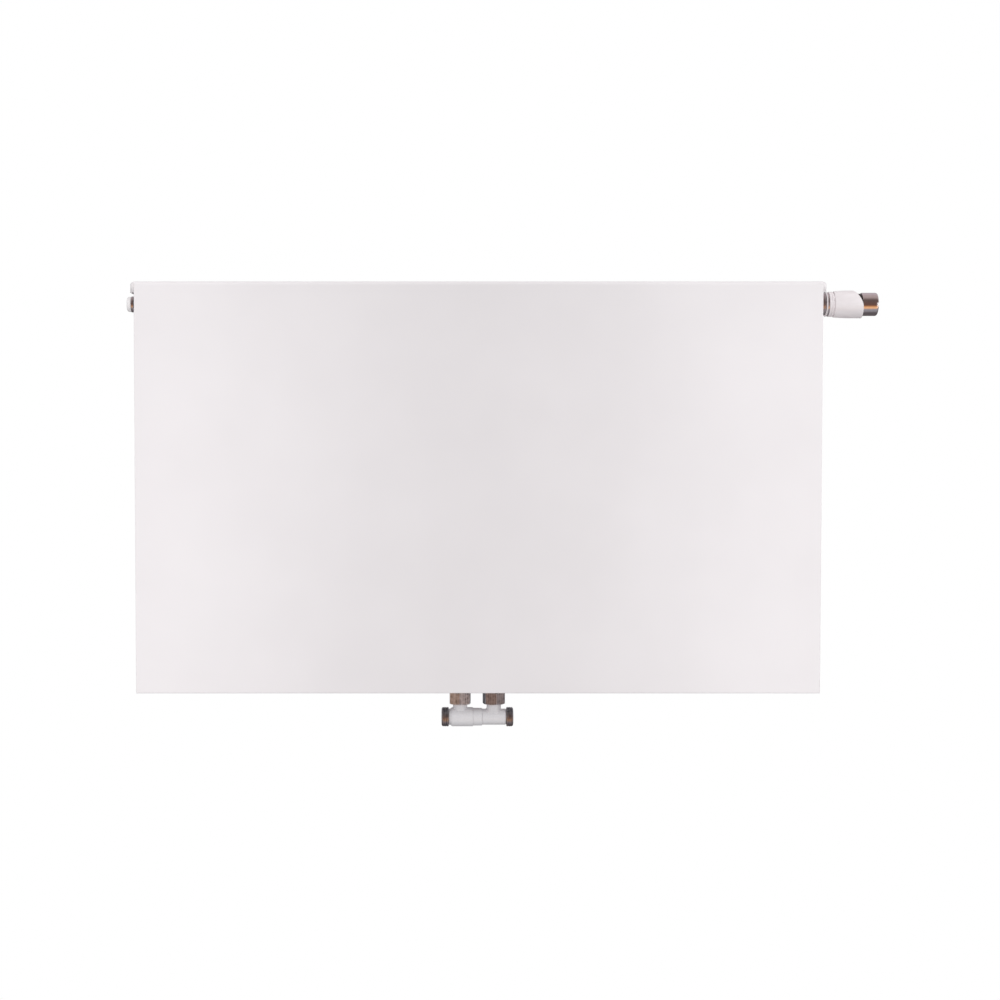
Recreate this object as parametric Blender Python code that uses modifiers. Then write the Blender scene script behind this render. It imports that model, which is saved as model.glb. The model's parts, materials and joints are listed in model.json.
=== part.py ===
"""Flat-fronted steel panel radiator, type 22, 600 x 1000 mm, with a built-in
thermostatic valve and a centre connection.

Metres, +Z up. The front faces -Y and +X is to the right seen from the front.
The origin is on the plane of the hanging lugs' rear faces, on the centre
line, level with the lower edge of the front.
"""

import math

import bmesh
import bpy
from mathutils import Matrix, Vector

# ---------------------------------------------------------------- dimensions
WIDTH = 1.000  # front sheet
HEIGHT = 0.600
Y_FRONT = -0.112  # outer face of the front sheet
GAP = 0.0003  # between pieces that touch

FRONT_SHEET = 0.0010
FRONT_FOLD = 0.0070  # how far the front sheet's edges turn back
TOP_BEND = 0.0050  # radius along the front sheet's upper edge
EDGE_BEND = 0.0012

SHELL_SHEET = 0.0012  # pressed half shells that hold the water
FRONT_MID_Y = -0.1045  # seam plane of the front water panel
REAR_MID_Y = -0.0185  # seam plane of the rear water panel
CREST = 0.0062  # outer skin of a channel, from the seam plane
PITCH = 0.040  # water channels
ISLANDS = 23  # welded lands between the channels
SHELL_HALF = 0.4965
SHELL_LOW, SHELL_HIGH = 0.004, 0.596
LAND_FLAT, LAND_SLOPE = 0.0045, 0.0085
WATER_HOLE = 0.0090
SEAM_GAP = 0.0009  # between the two half shells, before their walls' corners

MID_Y = -0.0615  # depth of every connection
LOW_Z, TOP_Z = 0.030, 0.570  # header and side connections
TEE_X = 0.466
TUBE_FRONT_Y = FRONT_MID_Y + CREST + GAP
TUBE_REAR_Y = REAR_MID_Y - CREST - GAP
PORT_X = 0.025  # the two connections are 50 mm apart

CONVECTOR_SHEET = 0.0005
CONVECTOR_DEPTH = 0.0330
CONVECTOR_PERIODS = 21
CONVECTOR_LOW, CONVECTOR_HIGH = 0.045, 0.555

COVER_SHEET = 0.0010
COVER_HALF = 0.5067
COVER_FRONT_Y, COVER_REAR_Y = -0.1045, -0.0125
COVER_SKIRT = 0.0157
COVER_EAR = 0.4975  # outside this the deeper skirt wraps the corners
COVER_CORNER = 0.0060
SLOTS, SLOT_PITCH = 32, 0.0300
SLOT_LENGTH, SLOT_WIDTH = 0.0300, 0.0110

SIDE_SHEET = 0.0008
SIDE_X = 0.4980
SIDE_LOW, SIDE_HIGH = 0.004, 0.5835

LUG_X = 9 * PITCH
LUG_HEIGHT = 0.040
LUG_SHEET = 0.0018
LUG_Z = (0.075, 0.525)

PIPE_RADIUS, PIPE_WALL = 0.0090, 0.0015
RISER_X = 0.4435
BEND_RADIUS = 0.030

BLOCK_Z = -0.0415  # axis of the shut-off block
BALL_X = PORT_X
BALL_RADIUS, BALL_BORE = 0.0090, 0.0052
LEFT_RADIUS, RIGHT_RADIUS = 0.0142, 0.0118
NUT_FLATS = 0.030
NUT_LOW, NUT_HIGH = -0.0222, -0.0042

SLEEVE_END = 0.5672
CUT_REACH = 0.5668  # the sleeve's curved end, below CUT_FROM of the axis
CUT_FROM, CUT_RISE, CUT_BACK = -0.008, 0.028, 0.0124  # how it sweeps back to the top

# ----------------------------------------------------------------- materials
WHITE_PAINT = ("radiator_white", (0.831, 0.807, 0.807), 0.0, 0.35)
BLOCK_PAINT = ("block_white", (0.730, 0.716, 0.723), 0.0, 0.40)
WHITE_PLASTIC = ("white_plastic", (0.768, 0.745, 0.738), 0.0, 0.38)
CHROME = ("chrome", (0.560, 0.550, 0.556), 1.0, 0.10)
NICKEL = ("nickel", (0.533, 0.497, 0.462), 1.0, 0.26)
BRASS = ("brass", (0.610, 0.430, 0.190), 1.0, 0.34)
RUBBER = ("black_rubber", (0.020, 0.020, 0.021), 0.0, 0.75)
SPRING_STEEL = ("spring_steel", (0.420, 0.420, 0.430), 1.0, 0.35)
ALUMINIUM = ("aluminium", (0.700, 0.705, 0.710), 1.0, 0.40)
BLACK_PLASTIC = ("black_plastic", (0.012, 0.011, 0.011), 0.0, 0.30)

X_OUT, X_IN, Y_BACK = "+X", "-X", "+Y"
TURN = {
    "+Z": (0.0, 0.0, 0.0),
    X_OUT: (0.0, math.pi / 2, 0.0),
    X_IN: (0.0, -math.pi / 2, 0.0),
    Y_BACK: (-math.pi / 2, 0.0, 0.0),
    "-Z": (math.pi, 0.0, 0.0),
}


def clear_scene():
    for obj in list(bpy.data.objects):
        bpy.data.objects.remove(obj, do_unlink=True)


def collection(name, hidden=False):
    made = bpy.data.collections.new(name)
    bpy.context.scene.collection.children.link(made)
    made.hide_render = hidden
    return made


clear_scene()
PARTS = collection("panel_radiator")
CUTTERS = collection("cutters", hidden=True)


def material(spec):
    name, colour, metallic, roughness = spec
    found = bpy.data.materials.get(name)
    if found:
        return found
    made = bpy.data.materials.new(name)
    made.use_nodes = True
    shader = made.node_tree.nodes["Principled BSDF"]
    shader.inputs["Base Color"].default_value = (*colour, 1.0)
    shader.inputs["Metallic"].default_value = metallic
    shader.inputs["Roughness"].default_value = roughness
    made.diffuse_color = (*colour, 1.0)
    return made


def add_object(name, data, spec):
    """A new object: a piece when it has a material, a cutter when it has none."""
    obj = bpy.data.objects.new(name, data)
    if spec:
        data.materials.append(material(spec))
        PARTS.objects.link(obj)
    else:
        CUTTERS.objects.link(obj)
        obj.hide_render = True
        obj.display_type = "WIRE"
    return obj


def mesh_of(name, bm):
    bmesh.ops.recalc_face_normals(bm, faces=bm.faces)
    mesh = bpy.data.meshes.new(name)
    bm.to_mesh(mesh)
    bm.free()
    return mesh


def smooth(obj, degrees=35):
    obj.data.shade_smooth()
    obj.data.set_sharp_from_angle(angle=math.radians(degrees))


def box(name, low, high, spec=None):
    low, high = Vector(low), Vector(high)
    bm = bmesh.new()
    bmesh.ops.create_cube(bm, size=1.0, matrix=Matrix.Diagonal((*(high - low), 1.0)))
    obj = add_object(name, mesh_of(name, bm), spec)
    obj.location = (low + high) / 2
    return obj


def rod(name, radius, at, toward, start, end, spec=None, sides=20):
    """A cylinder from start to end along an axis that leaves the point at."""
    bm = bmesh.new()
    bmesh.ops.create_cone(
        bm, cap_ends=True, segments=sides, radius1=radius, radius2=radius,
        depth=end - start, matrix=Matrix.Translation((0, 0, (start + end) / 2)),
    )
    obj = add_object(name, mesh_of(name, bm), spec)
    obj.location = at
    obj.rotation_euler = TURN[toward]
    return obj


def turned(name, profile, at, toward, spec=None, steps=24):
    """Turns a (radius, height) outline round an axis. An outline that starts
    and ends on the axis is solid, any other is closed into a ring."""
    solid = profile[0][0] == 0 and profile[-1][0] == 0
    pairs = zip(profile, profile[1:] + profile[:1])
    area = sum(a[0] * b[1] - b[0] * a[1] for a, b in pairs)
    if area > 0:
        profile = profile[::-1]
    mesh = bpy.data.meshes.new(name)
    count = len(profile)
    edges = [(i, i + 1) for i in range(count - 1)]
    if not solid:
        edges.append((count - 1, 0))
    mesh.from_pydata([(r, 0.0, h) for r, h in profile], edges, [])
    obj = add_object(name, mesh, spec)
    obj.location = at
    obj.rotation_euler = TURN[toward]
    screw = obj.modifiers.new("Turn", "SCREW")
    screw.axis = "Z"
    screw.steps = screw.render_steps = steps
    screw.use_merge_vertices = True
    screw.merge_threshold = 0.00001
    screw.use_smooth_shade = False
    return obj


def boolean(obj, operation, other):
    step = obj.modifiers.new(other.name, "BOOLEAN")
    step.operation = operation
    step.solver = "EXACT"
    step.object = other


def cut(obj, *others):
    for other in others:
        boolean(obj, "DIFFERENCE", other)


def join(obj, *others):
    for other in others:
        boolean(obj, "UNION", other)


def sheet(obj, thickness, offset=-1.0):
    step = obj.modifiers.new("Sheet", "SOLIDIFY")
    step.thickness = thickness
    step.offset = offset
    step.use_even_offset = True


def folded(name, outline, low, high, thickness, spec, offset=-1.0):
    """A sheet bent along an (x, y) outline and as tall as low to high."""
    bm = bmesh.new()
    points = [bm.verts.new((x, y, low)) for x, y in outline]
    edges = [bm.edges.new(pair) for pair in zip(points, points[1:])]
    raised = bmesh.ops.extrude_edge_only(bm, edges=edges)["geom"]
    moved = [part for part in raised if isinstance(part, bmesh.types.BMVert)]
    bmesh.ops.translate(bm, verts=moved, vec=(0, 0, high - low))
    obj = add_object(name, mesh_of(name, bm), spec)
    sheet(obj, thickness, offset)
    return obj


def coil(name, radius, wire, start, end, turns, at, spec):
    """A compression spring along +X with its first coil at start."""
    per_turn = 8
    count = turns * per_turn
    curve = bpy.data.curves.new(name, "CURVE")
    curve.dimensions = "3D"
    curve.bevel_depth = wire
    curve.bevel_resolution = 0
    curve.use_fill_caps = True
    spline = curve.splines.new("POLY")
    spline.points.add(count)
    for i, point in enumerate(spline.points):
        angle = 2 * math.pi * i / per_turn
        along = start + (end - start) * i / count
        point.co = (along, radius * math.cos(angle), radius * math.sin(angle), 1.0)
    obj = add_object(name, curve, spec)
    obj.location = at
    return obj


def arc(centre, radius, first, last, count):
    """Points on a circle, as (radius, height), between two angles in degrees."""
    out = []
    for i in range(count + 1):
        angle = math.radians(first + (last - first) * i / count)
        out.append((
            centre[0] + radius * math.cos(angle),
            centre[1] + radius * math.sin(angle),
        ))
    return out


# -------------------------------------------------------- front sheet, covers
def make_front():
    low = Vector((-WIDTH / 2, Y_FRONT, 0.0))
    high = Vector((WIDTH / 2, Y_FRONT + FRONT_FOLD, HEIGHT))
    bm = bmesh.new()
    bmesh.ops.create_cube(bm, size=1.0, matrix=Matrix.Diagonal((*(high - low), 1.0)))
    back = [f for f in bm.faces if f.normal.y > 0.9]
    bmesh.ops.delete(bm, geom=back, context="FACES_ONLY")
    half_depth, half_height = FRONT_FOLD / 2, HEIGHT / 2
    top_edge = [
        e for e in bm.edges
        if all(v.co.y < -half_depth * 0.9 and v.co.z > half_height * 0.9 for v in e.verts)
    ]
    bmesh.ops.bevel(
        bm, geom=top_edge, offset=TOP_BEND, segments=4, profile=0.5, affect="EDGES"
    )
    sharp = [
        e for e in bm.edges
        if len(e.link_faces) == 2 and e.calc_face_angle() > math.radians(60)
    ]
    bmesh.ops.bevel(
        bm, geom=sharp, offset=EDGE_BEND, segments=2, profile=0.5, affect="EDGES"
    )
    obj = add_object("front_sheet", mesh_of("front_sheet", bm), WHITE_PAINT)
    obj.location = (low + high) / 2
    sheet(obj, FRONT_SHEET)
    return obj


def make_grille():
    """The top cover: a slotted tray with deeper skirts at its two ends."""
    low = Vector((-COVER_HALF, COVER_FRONT_Y, HEIGHT - COVER_SKIRT))
    high = Vector((COVER_HALF, COVER_REAR_Y, HEIGHT))
    centre = (low + high) / 2
    bm = bmesh.new()
    bmesh.ops.create_cube(bm, size=1.0, matrix=Matrix.Diagonal((*(high - low), 1.0)))
    under = [f for f in bm.faces if f.normal.z < -0.9]
    bmesh.ops.delete(bm, geom=under, context="FACES_ONLY")
    ends = [
        e for e in bm.edges
        if len(e.link_faces) == 2 and abs(e.verts[0].co.x - e.verts[1].co.x) < 1e-6
        and abs(e.verts[0].co.z - e.verts[1].co.z) < 1e-6
    ]
    bmesh.ops.bevel(
        bm, geom=ends, offset=COVER_CORNER, segments=3, profile=0.5, affect="EDGES"
    )
    obj = add_object("top_grille", mesh_of("top_grille", bm), WHITE_PAINT)
    obj.location = centre
    sheet(obj, COVER_SHEET)
    inner = COVER_EAR
    trim = box(
        "cut_grille_skirt", (-inner, COVER_FRONT_Y - 0.002, 0.580),
        (inner, COVER_REAR_Y + 0.002, HEIGHT - 0.0035),
    )
    passage = rod(
        "cut_grille_passage", 0.0182, (0, MID_Y, TOP_Z), X_OUT, -0.52, 0.52
    )
    cut(obj, trim, passage)
    for row, y in enumerate((MID_Y - 0.0195, MID_Y + 0.0195)):
        first = -SLOT_PITCH * (SLOTS - 1) / 2
        cutter = box(
            f"cut_grille_slots_{row}",
            (first - SLOT_WIDTH / 2, y - SLOT_LENGTH / 2, HEIGHT - 0.003),
            (first + SLOT_WIDTH / 2, y + SLOT_LENGTH / 2, HEIGHT + 0.003),
        )
        repeat = cutter.modifiers.new("Row", "ARRAY")
        repeat.count = SLOTS
        repeat.use_relative_offset = False
        repeat.use_constant_offset = True
        repeat.constant_offset_displace = (SLOT_PITCH, 0.0, 0.0)
        cut(obj, cutter)
    return obj


def make_side_cover(name, side, passage_radius):
    x = side * SIDE_X
    outline = [
        (x - side * 0.008, -0.0995), (x, -0.0995), (x, COVER_REAR_Y),
        (x - side * 0.009, COVER_REAR_Y),
    ]
    obj = folded(name, outline, SIDE_LOW, SIDE_HIGH, SIDE_SHEET, WHITE_PAINT)
    hole = rod(f"cut_{name}_hole", passage_radius, (0, MID_Y, TOP_Z), X_OUT,
               x - 0.004, x + 0.004)
    slot = box(f"cut_{name}_slot", (x - 0.004, MID_Y - passage_radius, TOP_Z),
               (x + 0.004, MID_Y + passage_radius, TOP_Z + 0.02))
    cut(obj, hole, slot)
    return obj


# -------------------------------------------------------------- water panels
def make_shell(name, mid_y, face, holes=()):
    """A pressed half shell: upright channels between two headers, with welded
    lands between the channels and a seam all round. face is -1 for the half
    that looks forward and +1 for the half that looks back."""
    bm = bmesh.new()
    land, crest = face * (SHELL_SHEET + SEAM_GAP / 2), face * CREST

    def ring(half, low, high, y, x=0.0):
        corners = ((-half, low), (half, low), (half, high), (-half, high))
        return [bm.verts.new((x + dx, y, z)) for dx, z in corners]

    def band(outer, inner):
        for k in range(4):
            n = (k + 1) % 4
            bm.faces.new((outer[k], outer[n], inner[n], inner[k]))
        return [bm.edges.get((inner[k], inner[(k + 1) % 4])) for k in range(4)]

    def rim(ring_of_verts):
        return [
            bm.edges.get((v, ring_of_verts[(k + 1) % 4]))
            for k, v in enumerate(ring_of_verts)
        ]

    low, high = SHELL_LOW, SHELL_HIGH
    seam = ring(SHELL_HALF, low, high, land)
    foot = ring(SHELL_HALF - 0.010, low + 0.007, high - 0.007, land)
    top = ring(SHELL_HALF - 0.015, low + 0.011, high - 0.011, crest)
    band(seam, foot)
    outline = band(foot, top)
    for i in range(ISLANDS):
        x = (i - (ISLANDS - 1) / 2) * PITCH
        outer = ring(LAND_SLOPE, low + 0.038, high - 0.038, crest, x)
        inner = ring(LAND_FLAT, low + 0.042, high - 0.042, land, x)
        band(outer, inner)
        bm.faces.new(inner)
        outline += rim(outer)
    for x, z in holes:
        points = [
            bm.verts.new((x + dx, crest, z + dz))
            for dx, dz in arc((0, 0), WATER_HOLE, 0, 330, 11)
        ]
        outline += [
            bm.edges.new((v, points[(k + 1) % len(points)]))
            for k, v in enumerate(points)
        ]
    bmesh.ops.triangle_fill(bm, use_beauty=True, edges=outline, normal=(0, face, 0))
    bmesh.ops.recalc_face_normals(bm, faces=bm.faces)
    bm.normal_update()
    if sum(f.normal.y * f.calc_area() for f in bm.faces) * face < 0:
        bmesh.ops.reverse_faces(bm, faces=bm.faces)
    mesh = bpy.data.meshes.new(name)
    bm.to_mesh(mesh)
    bm.free()
    obj = add_object(name, mesh, WHITE_PAINT)
    obj.location = (0, mid_y, 0)
    sheet(obj, SHELL_SHEET)
    return obj


def make_convector(name, base_y, toward):
    """A corrugated sheet whose feet stand on the channels."""
    outline = []
    for i in range(CONVECTOR_PERIODS):
        x = (i - (CONVECTOR_PERIODS - 1) / 2) * PITCH
        foot, rise = 0.0050, 0.0045
        outline += [
            (x - PITCH / 2 + foot, base_y),
            (x - PITCH / 2 + foot + rise, base_y + toward * CONVECTOR_DEPTH),
            (x + PITCH / 2 - foot - rise, base_y + toward * CONVECTOR_DEPTH),
            (x + PITCH / 2 - foot, base_y),
        ]
    return folded(name, outline, CONVECTOR_LOW, CONVECTOR_HIGH, CONVECTOR_SHEET,
                  WHITE_PAINT, offset=1.0)


def make_lug(name, x, z):
    """A strap bridging two channels; the wall bracket's hook goes behind it."""
    foot_y = REAR_MID_Y + CREST + GAP
    outline = [
        (x - 0.0240, foot_y + LUG_SHEET), (x - 0.0120, foot_y + LUG_SHEET),
        (x - 0.0100, 0.0), (x + 0.0100, 0.0),
        (x + 0.0120, foot_y + LUG_SHEET), (x + 0.0240, foot_y + LUG_SHEET),
    ]
    return folded(name, outline, z - LUG_HEIGHT / 2, z + LUG_HEIGHT / 2, LUG_SHEET,
                  WHITE_PAINT, offset=1.0)


# ------------------------------------------------------------ tees and pipes
def make_tee(name, side, z, boss_end):
    """Joins the two water panels at a corner and takes a plug from the side."""
    at = (side * TEE_X, MID_Y, z)
    out = X_OUT if side > 0 else X_IN
    front, back = TUBE_FRONT_Y - MID_Y, TUBE_REAR_Y - MID_Y
    reach = boss_end - TEE_X
    obj = rod(name, 0.0125, at, Y_BACK, front, back, WHITE_PAINT)
    join(obj, rod(f"add_{name}_boss", 0.0125, at, out, 0.0, reach))
    cut(
        obj,
        rod(f"cut_{name}_through", 0.0090, at, Y_BACK, front - 0.01, back + 0.01, sides=16),
        rod(f"cut_{name}_boss", 0.0101, at, out, 0.001, reach + 0.01),
    )
    smooth(obj)
    return obj


def make_blind_plug(name, side):
    at = (0, MID_Y, LOW_Z)
    out = X_OUT if side > 0 else X_IN
    profile = [(0, 0.476), (0.0098, 0.476), (0.0098, 0.4903), (0.0118, 0.4903),
               (0.0118, 0.4950), (0.0113, 0.4955), (0, 0.4955)]
    obj = turned(name, profile, at, out, NICKEL, steps=16)
    cut(obj, rod(f"cut_{name}_key", 0.0058, at, out, 0.486, 0.50, sides=6))
    return obj


def make_valve_housing():
    at = (0, MID_Y, TOP_Z)
    tee = (TEE_X, MID_Y, TOP_Z)
    riser = (RISER_X, MID_Y, TOP_Z)
    front, back = TUBE_FRONT_Y - MID_Y, TUBE_REAR_Y - MID_Y
    obj = rod("valve_housing", 0.0135, at, X_OUT, 0.4325, 0.4985, WHITE_PAINT)
    join(
        obj,
        rod("add_housing_cross", 0.0125, tee, Y_BACK, front, back),
        rod("add_housing_inlet", 0.0100, riser, "-Z", 0.0, 0.0170, sides=16),
    )
    bore = [(0, 0.4385), (0.0080, 0.4385), (0.0080, 0.4485), (0.0050, 0.4485),
            (0.0050, 0.4515), (0.0100, 0.4515), (0.0100, 0.5100), (0, 0.5100)]
    cut(
        obj,
        turned("cut_housing_bore", bore, at, X_OUT, steps=20),
        rod("cut_housing_cross", 0.0090, tee, Y_BACK, front - 0.01, back + 0.01, sides=16),
        rod("cut_housing_inlet", 0.0052, riser, "-Z", 0.002, 0.030, sides=12),
    )
    return obj


def make_centre_block():
    """Takes the two connections: the return feeds both panels, the flow goes
    on to the pipe that rises to the thermostatic valve."""
    low_z, high_z = 0.012, 0.042
    return_at, flow_at = (-PORT_X, MID_Y, LOW_Z), (PORT_X, MID_Y, LOW_Z)
    front, back = TUBE_FRONT_Y - MID_Y, TUBE_REAR_Y - MID_Y
    obj = box("centre_block", (-0.045, MID_Y - 0.015, low_z),
              (0.045, MID_Y + 0.015, high_z), WHITE_PAINT)
    join(obj, rod("add_block_cross", 0.0120, return_at, Y_BACK, front, back))
    cut(
        obj,
        rod("cut_block_cross", 0.0090, return_at, Y_BACK, front - 0.01, back + 0.01,
            sides=16),
        rod("cut_block_return", 0.0075, return_at, "-Z", 0.001, 0.030, sides=16),
        rod("cut_block_flow", 0.0075, flow_at, "-Z", -0.004, 0.030, sides=16),
        rod("cut_block_side", 0.0070, flow_at, X_OUT, 0.001, 0.030, sides=12),
    )
    return obj


def make_supply_pipe():
    """Runs from the centre block to the right, then up to the valve."""
    path = [(0.045 + GAP, LOW_Z)]
    centre = (RISER_X - BEND_RADIUS, LOW_Z + BEND_RADIUS)
    path += arc(centre, BEND_RADIUS, -90, 0, 5)
    path.append((RISER_X, TOP_Z - 0.0170 - GAP))
    curve = bpy.data.curves.new("supply_pipe", "CURVE")
    curve.dimensions = "3D"
    curve.bevel_depth = PIPE_RADIUS
    curve.bevel_resolution = 3
    spline = curve.splines.new("POLY")
    spline.points.add(len(path) - 1)
    for point, (x, z) in zip(spline.points, path):
        point.co = (x, 0.0, z, 1.0)
    guide = bpy.data.objects.new("pipe_guide", curve)
    bpy.context.scene.collection.objects.link(guide)
    bpy.context.view_layer.update()
    graph = bpy.context.evaluated_depsgraph_get()
    mesh = bpy.data.meshes.new_from_object(guide.evaluated_get(graph))
    mesh.name = "supply_pipe"
    mesh.materials.clear()
    bpy.data.objects.remove(guide)
    bm = bmesh.new()
    bm.from_mesh(mesh)
    bmesh.ops.recalc_face_normals(bm, faces=bm.faces)
    bm.to_mesh(mesh)
    bm.free()
    obj = add_object("supply_pipe", mesh, WHITE_PAINT)
    obj.location = (0, MID_Y, 0)
    sheet(obj, PIPE_WALL)
    smooth(obj)
    return obj


def make_nipple(name, x):
    """A G3/4 male end that hangs below the centre block."""
    profile = [(0.0132, 0.012 - GAP), (0.0132, -0.0138), (0.0125, -0.0145),
               (0.0080, -0.0145), (0.0080, 0.012 - GAP)]
    return turned(name, profile, (x, MID_Y, 0), "+Z", BRASS, steps=18)


# ------------------------------------------------------------------ air vent
def make_vent():
    at = (0, MID_Y, TOP_Z)
    body = [(0.0098, 0.4900), (0.0098, 0.5063), (0.0117, 0.5063), (0.0117, 0.5101),
            (0.0050, 0.5101), (0.0050, 0.5162), (0.0033, 0.5162), (0.0033, 0.4990),
            (0.0015, 0.4975), (0.0015, 0.4900)]
    turned("vent_body", body, at, X_IN, NICKEL, steps=20)
    seal = [(0.0121, 0.5048), (0.0121, 0.5060), (0.0101, 0.5060), (0.0101, 0.5048)]
    turned("vent_seal", seal, at, X_IN, RUBBER, steps=16)
    screw = [(0, 0.4986), (0.0016, 0.5000), (0.0030, 0.5000), (0.0030, 0.5166),
             (0, 0.5166)]
    needle = turned("vent_screw", screw, at, X_IN, BRASS, steps=14)
    cut(needle, box("cut_vent_slot", (-0.53, MID_Y - 0.0005, TOP_Z - 0.005),
                    (-0.5154, MID_Y + 0.0005, TOP_Z + 0.005)))
    spout = [(0.0110, 0.5104), (0.0110, 0.5146), (0.0104, 0.5160), (0.0089, 0.5167),
             (0.0053, 0.5167), (0.0053, 0.5104)]
    ring = turned("vent_spout", spout, at, X_IN, WHITE_PLASTIC, steps=28)
    cut(ring, rod("cut_vent_outlet", 0.0012, (-0.5133, MID_Y, TOP_Z), "-Z",
                  0.0045, 0.013, sides=10))


# ------------------------------------------------------- thermostatic valve
def make_valve():
    at = (0, MID_Y, TOP_Z)
    insert = [(0.0097, 0.4780), (0.0097, 0.4988), (0.0132, 0.4988), (0.0132, 0.5030),
              (0.0142, 0.5030), (0.0142, 0.5078), (0.0138, 0.5083), (0.0056, 0.5083),
              (0.0056, 0.4820), (0.0018, 0.4820), (0.0018, 0.4780)]
    turned("valve_insert", insert, at, X_OUT, NICKEL, steps=18)
    pin = [(0, 0.4505), (0.0030, 0.4505), (0.0030, 0.4530), (0.0015, 0.4530),
           (0.0015, 0.5000), (0.0046, 0.5000), (0.0046, 0.5025), (0.0015, 0.5025),
           (0.0015, 0.5111), (0, 0.5111)]
    turned("valve_pin", pin, at, X_OUT, SPRING_STEEL, steps=12)
    disc = [(0.0068, 0.4533), (0.0068, 0.4560), (0.0062, 0.4563), (0.0018, 0.4563),
            (0.0018, 0.4533)]
    turned("valve_disc", disc, at, X_OUT, RUBBER, steps=16)
    coil("valve_spring", 0.0036, 0.0004, 0.4827, 0.4993, 4, at, SPRING_STEEL)


# --------------------------------------------------------- thermostatic head
def make_head():
    at = (0, MID_Y, TOP_Z)
    nut = [(0.0153, 0.5036), (0.0156, 0.5040), (0.0157, 0.5100), (0.0160, 0.5110),
           (0.0160, 0.5120), (0.0131, 0.5120), (0.0131, 0.5102), (0.0145, 0.5102),
           (0.0145, 0.5036)]
    turned("head_nut", nut, at, X_OUT, NICKEL, steps=28)
    base = [(0.0141, 0.5086), (0.0141, 0.5099), (0.0128, 0.5099), (0.0128, 0.5123),
            (0.0181, 0.5123), (0.0181, 0.5139), (0.0155, 0.5139), (0.0155, 0.5168),
            (0.0183, 0.5168), (0.0184, 0.5203), (0.0179, 0.5206), (0.0184, 0.5209),
            (0.0185, 0.5228), (0.0168, 0.5232), (0.0168, 0.5400), (0.0130, 0.5400),
            (0.0130, 0.5145), (0.0033, 0.5145), (0.0033, 0.5086)]
    turned("head_base", base, at, X_OUT, WHITE_PLASTIC, steps=22)
    ring = [(0.0175, 0.5142), (0.0175, 0.5165), (0.0158, 0.5165), (0.0158, 0.5142)]
    clip = turned("head_ring", ring, at, X_OUT, CHROME, steps=24)
    cut(clip, box("cut_ring_gap", (0.51, MID_Y + 0.010, TOP_Z - 0.0012),
                  (0.53, MID_Y + 0.020, TOP_Z + 0.0012)))
    sleeve = [(0.0191, 0.5246), (0.0197, 0.5310), (0.0202, 0.5420),
              (0.0203, SLEEVE_END), (0.0184, SLEEVE_END), (0.0184, 0.5272),
              (0.0171, 0.5272), (0.0171, 0.5246)]
    shell = turned("head_sleeve", sleeve, at, X_OUT, WHITE_PLASTIC, steps=28)
    cut(shell, make_sleeve_cut())
    core = [(0.0157, 0.5430), (0.0157, 0.5868), (0, 0.5868), (0, 0.5848),
            (0.0126, 0.5848), (0.0126, 0.5430)]
    turned("head_core", core, at, X_OUT, BLACK_PLASTIC, steps=22)
    knob = [(0.0166, 0.5655), (0.0170, 0.5659), (0.0170, 0.5866), (0.0163, 0.5883),
            (0.0146, 0.5890), (0, 0.5892), (0, 0.5871), (0.0160, 0.5871),
            (0.0160, 0.5655)]
    turned("head_knob", knob, at, X_OUT, CHROME, steps=28)
    capsule = [(0, 0.5485), (0.0110, 0.5485), (0.0116, 0.5491), (0.0116, 0.5753),
               (0.0104, 0.5765), (0, 0.5765)]
    turned("sensor_capsule", capsule, at, X_OUT, ALUMINIUM, steps=20)
    rod_profile = [(0, 0.5114), (0.0029, 0.5114), (0.0029, 0.5482), (0, 0.5482)]
    turned("push_rod", rod_profile, at, X_OUT, BRASS, steps=12)
    coil("head_spring", 0.0072, 0.0006, 0.5154, 0.5476, 4, at, SPRING_STEEL)


def make_sleeve_cut():
    """Everything outside the sleeve's end. Seen from the front the end is
    straight below the axis and sweeps back, as a parabola, to the top."""
    bm = bmesh.new()
    points = []
    for i in range(13):
        z = 0.024 - 0.048 * i / 12
        rise = max(0.0, z - CUT_FROM) / CUT_RISE
        points.append((CUT_REACH - CUT_BACK * rise ** 2, z))
    outline = [(0.60, -0.024), (0.60, 0.024)] + points
    verts = [bm.verts.new((x, -0.03, z)) for x, z in outline]
    face = bm.faces.new(verts)
    made = bmesh.ops.extrude_face_region(bm, geom=[face])["geom"]
    moved = [part for part in made if isinstance(part, bmesh.types.BMVert)]
    bmesh.ops.translate(bm, verts=moved, vec=(0, 0.06, 0))
    cutter = add_object("cut_sleeve_end", mesh_of("cut_sleeve_end", bm), None)
    cutter.location = (0, MID_Y, TOP_Z)
    return cutter


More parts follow.
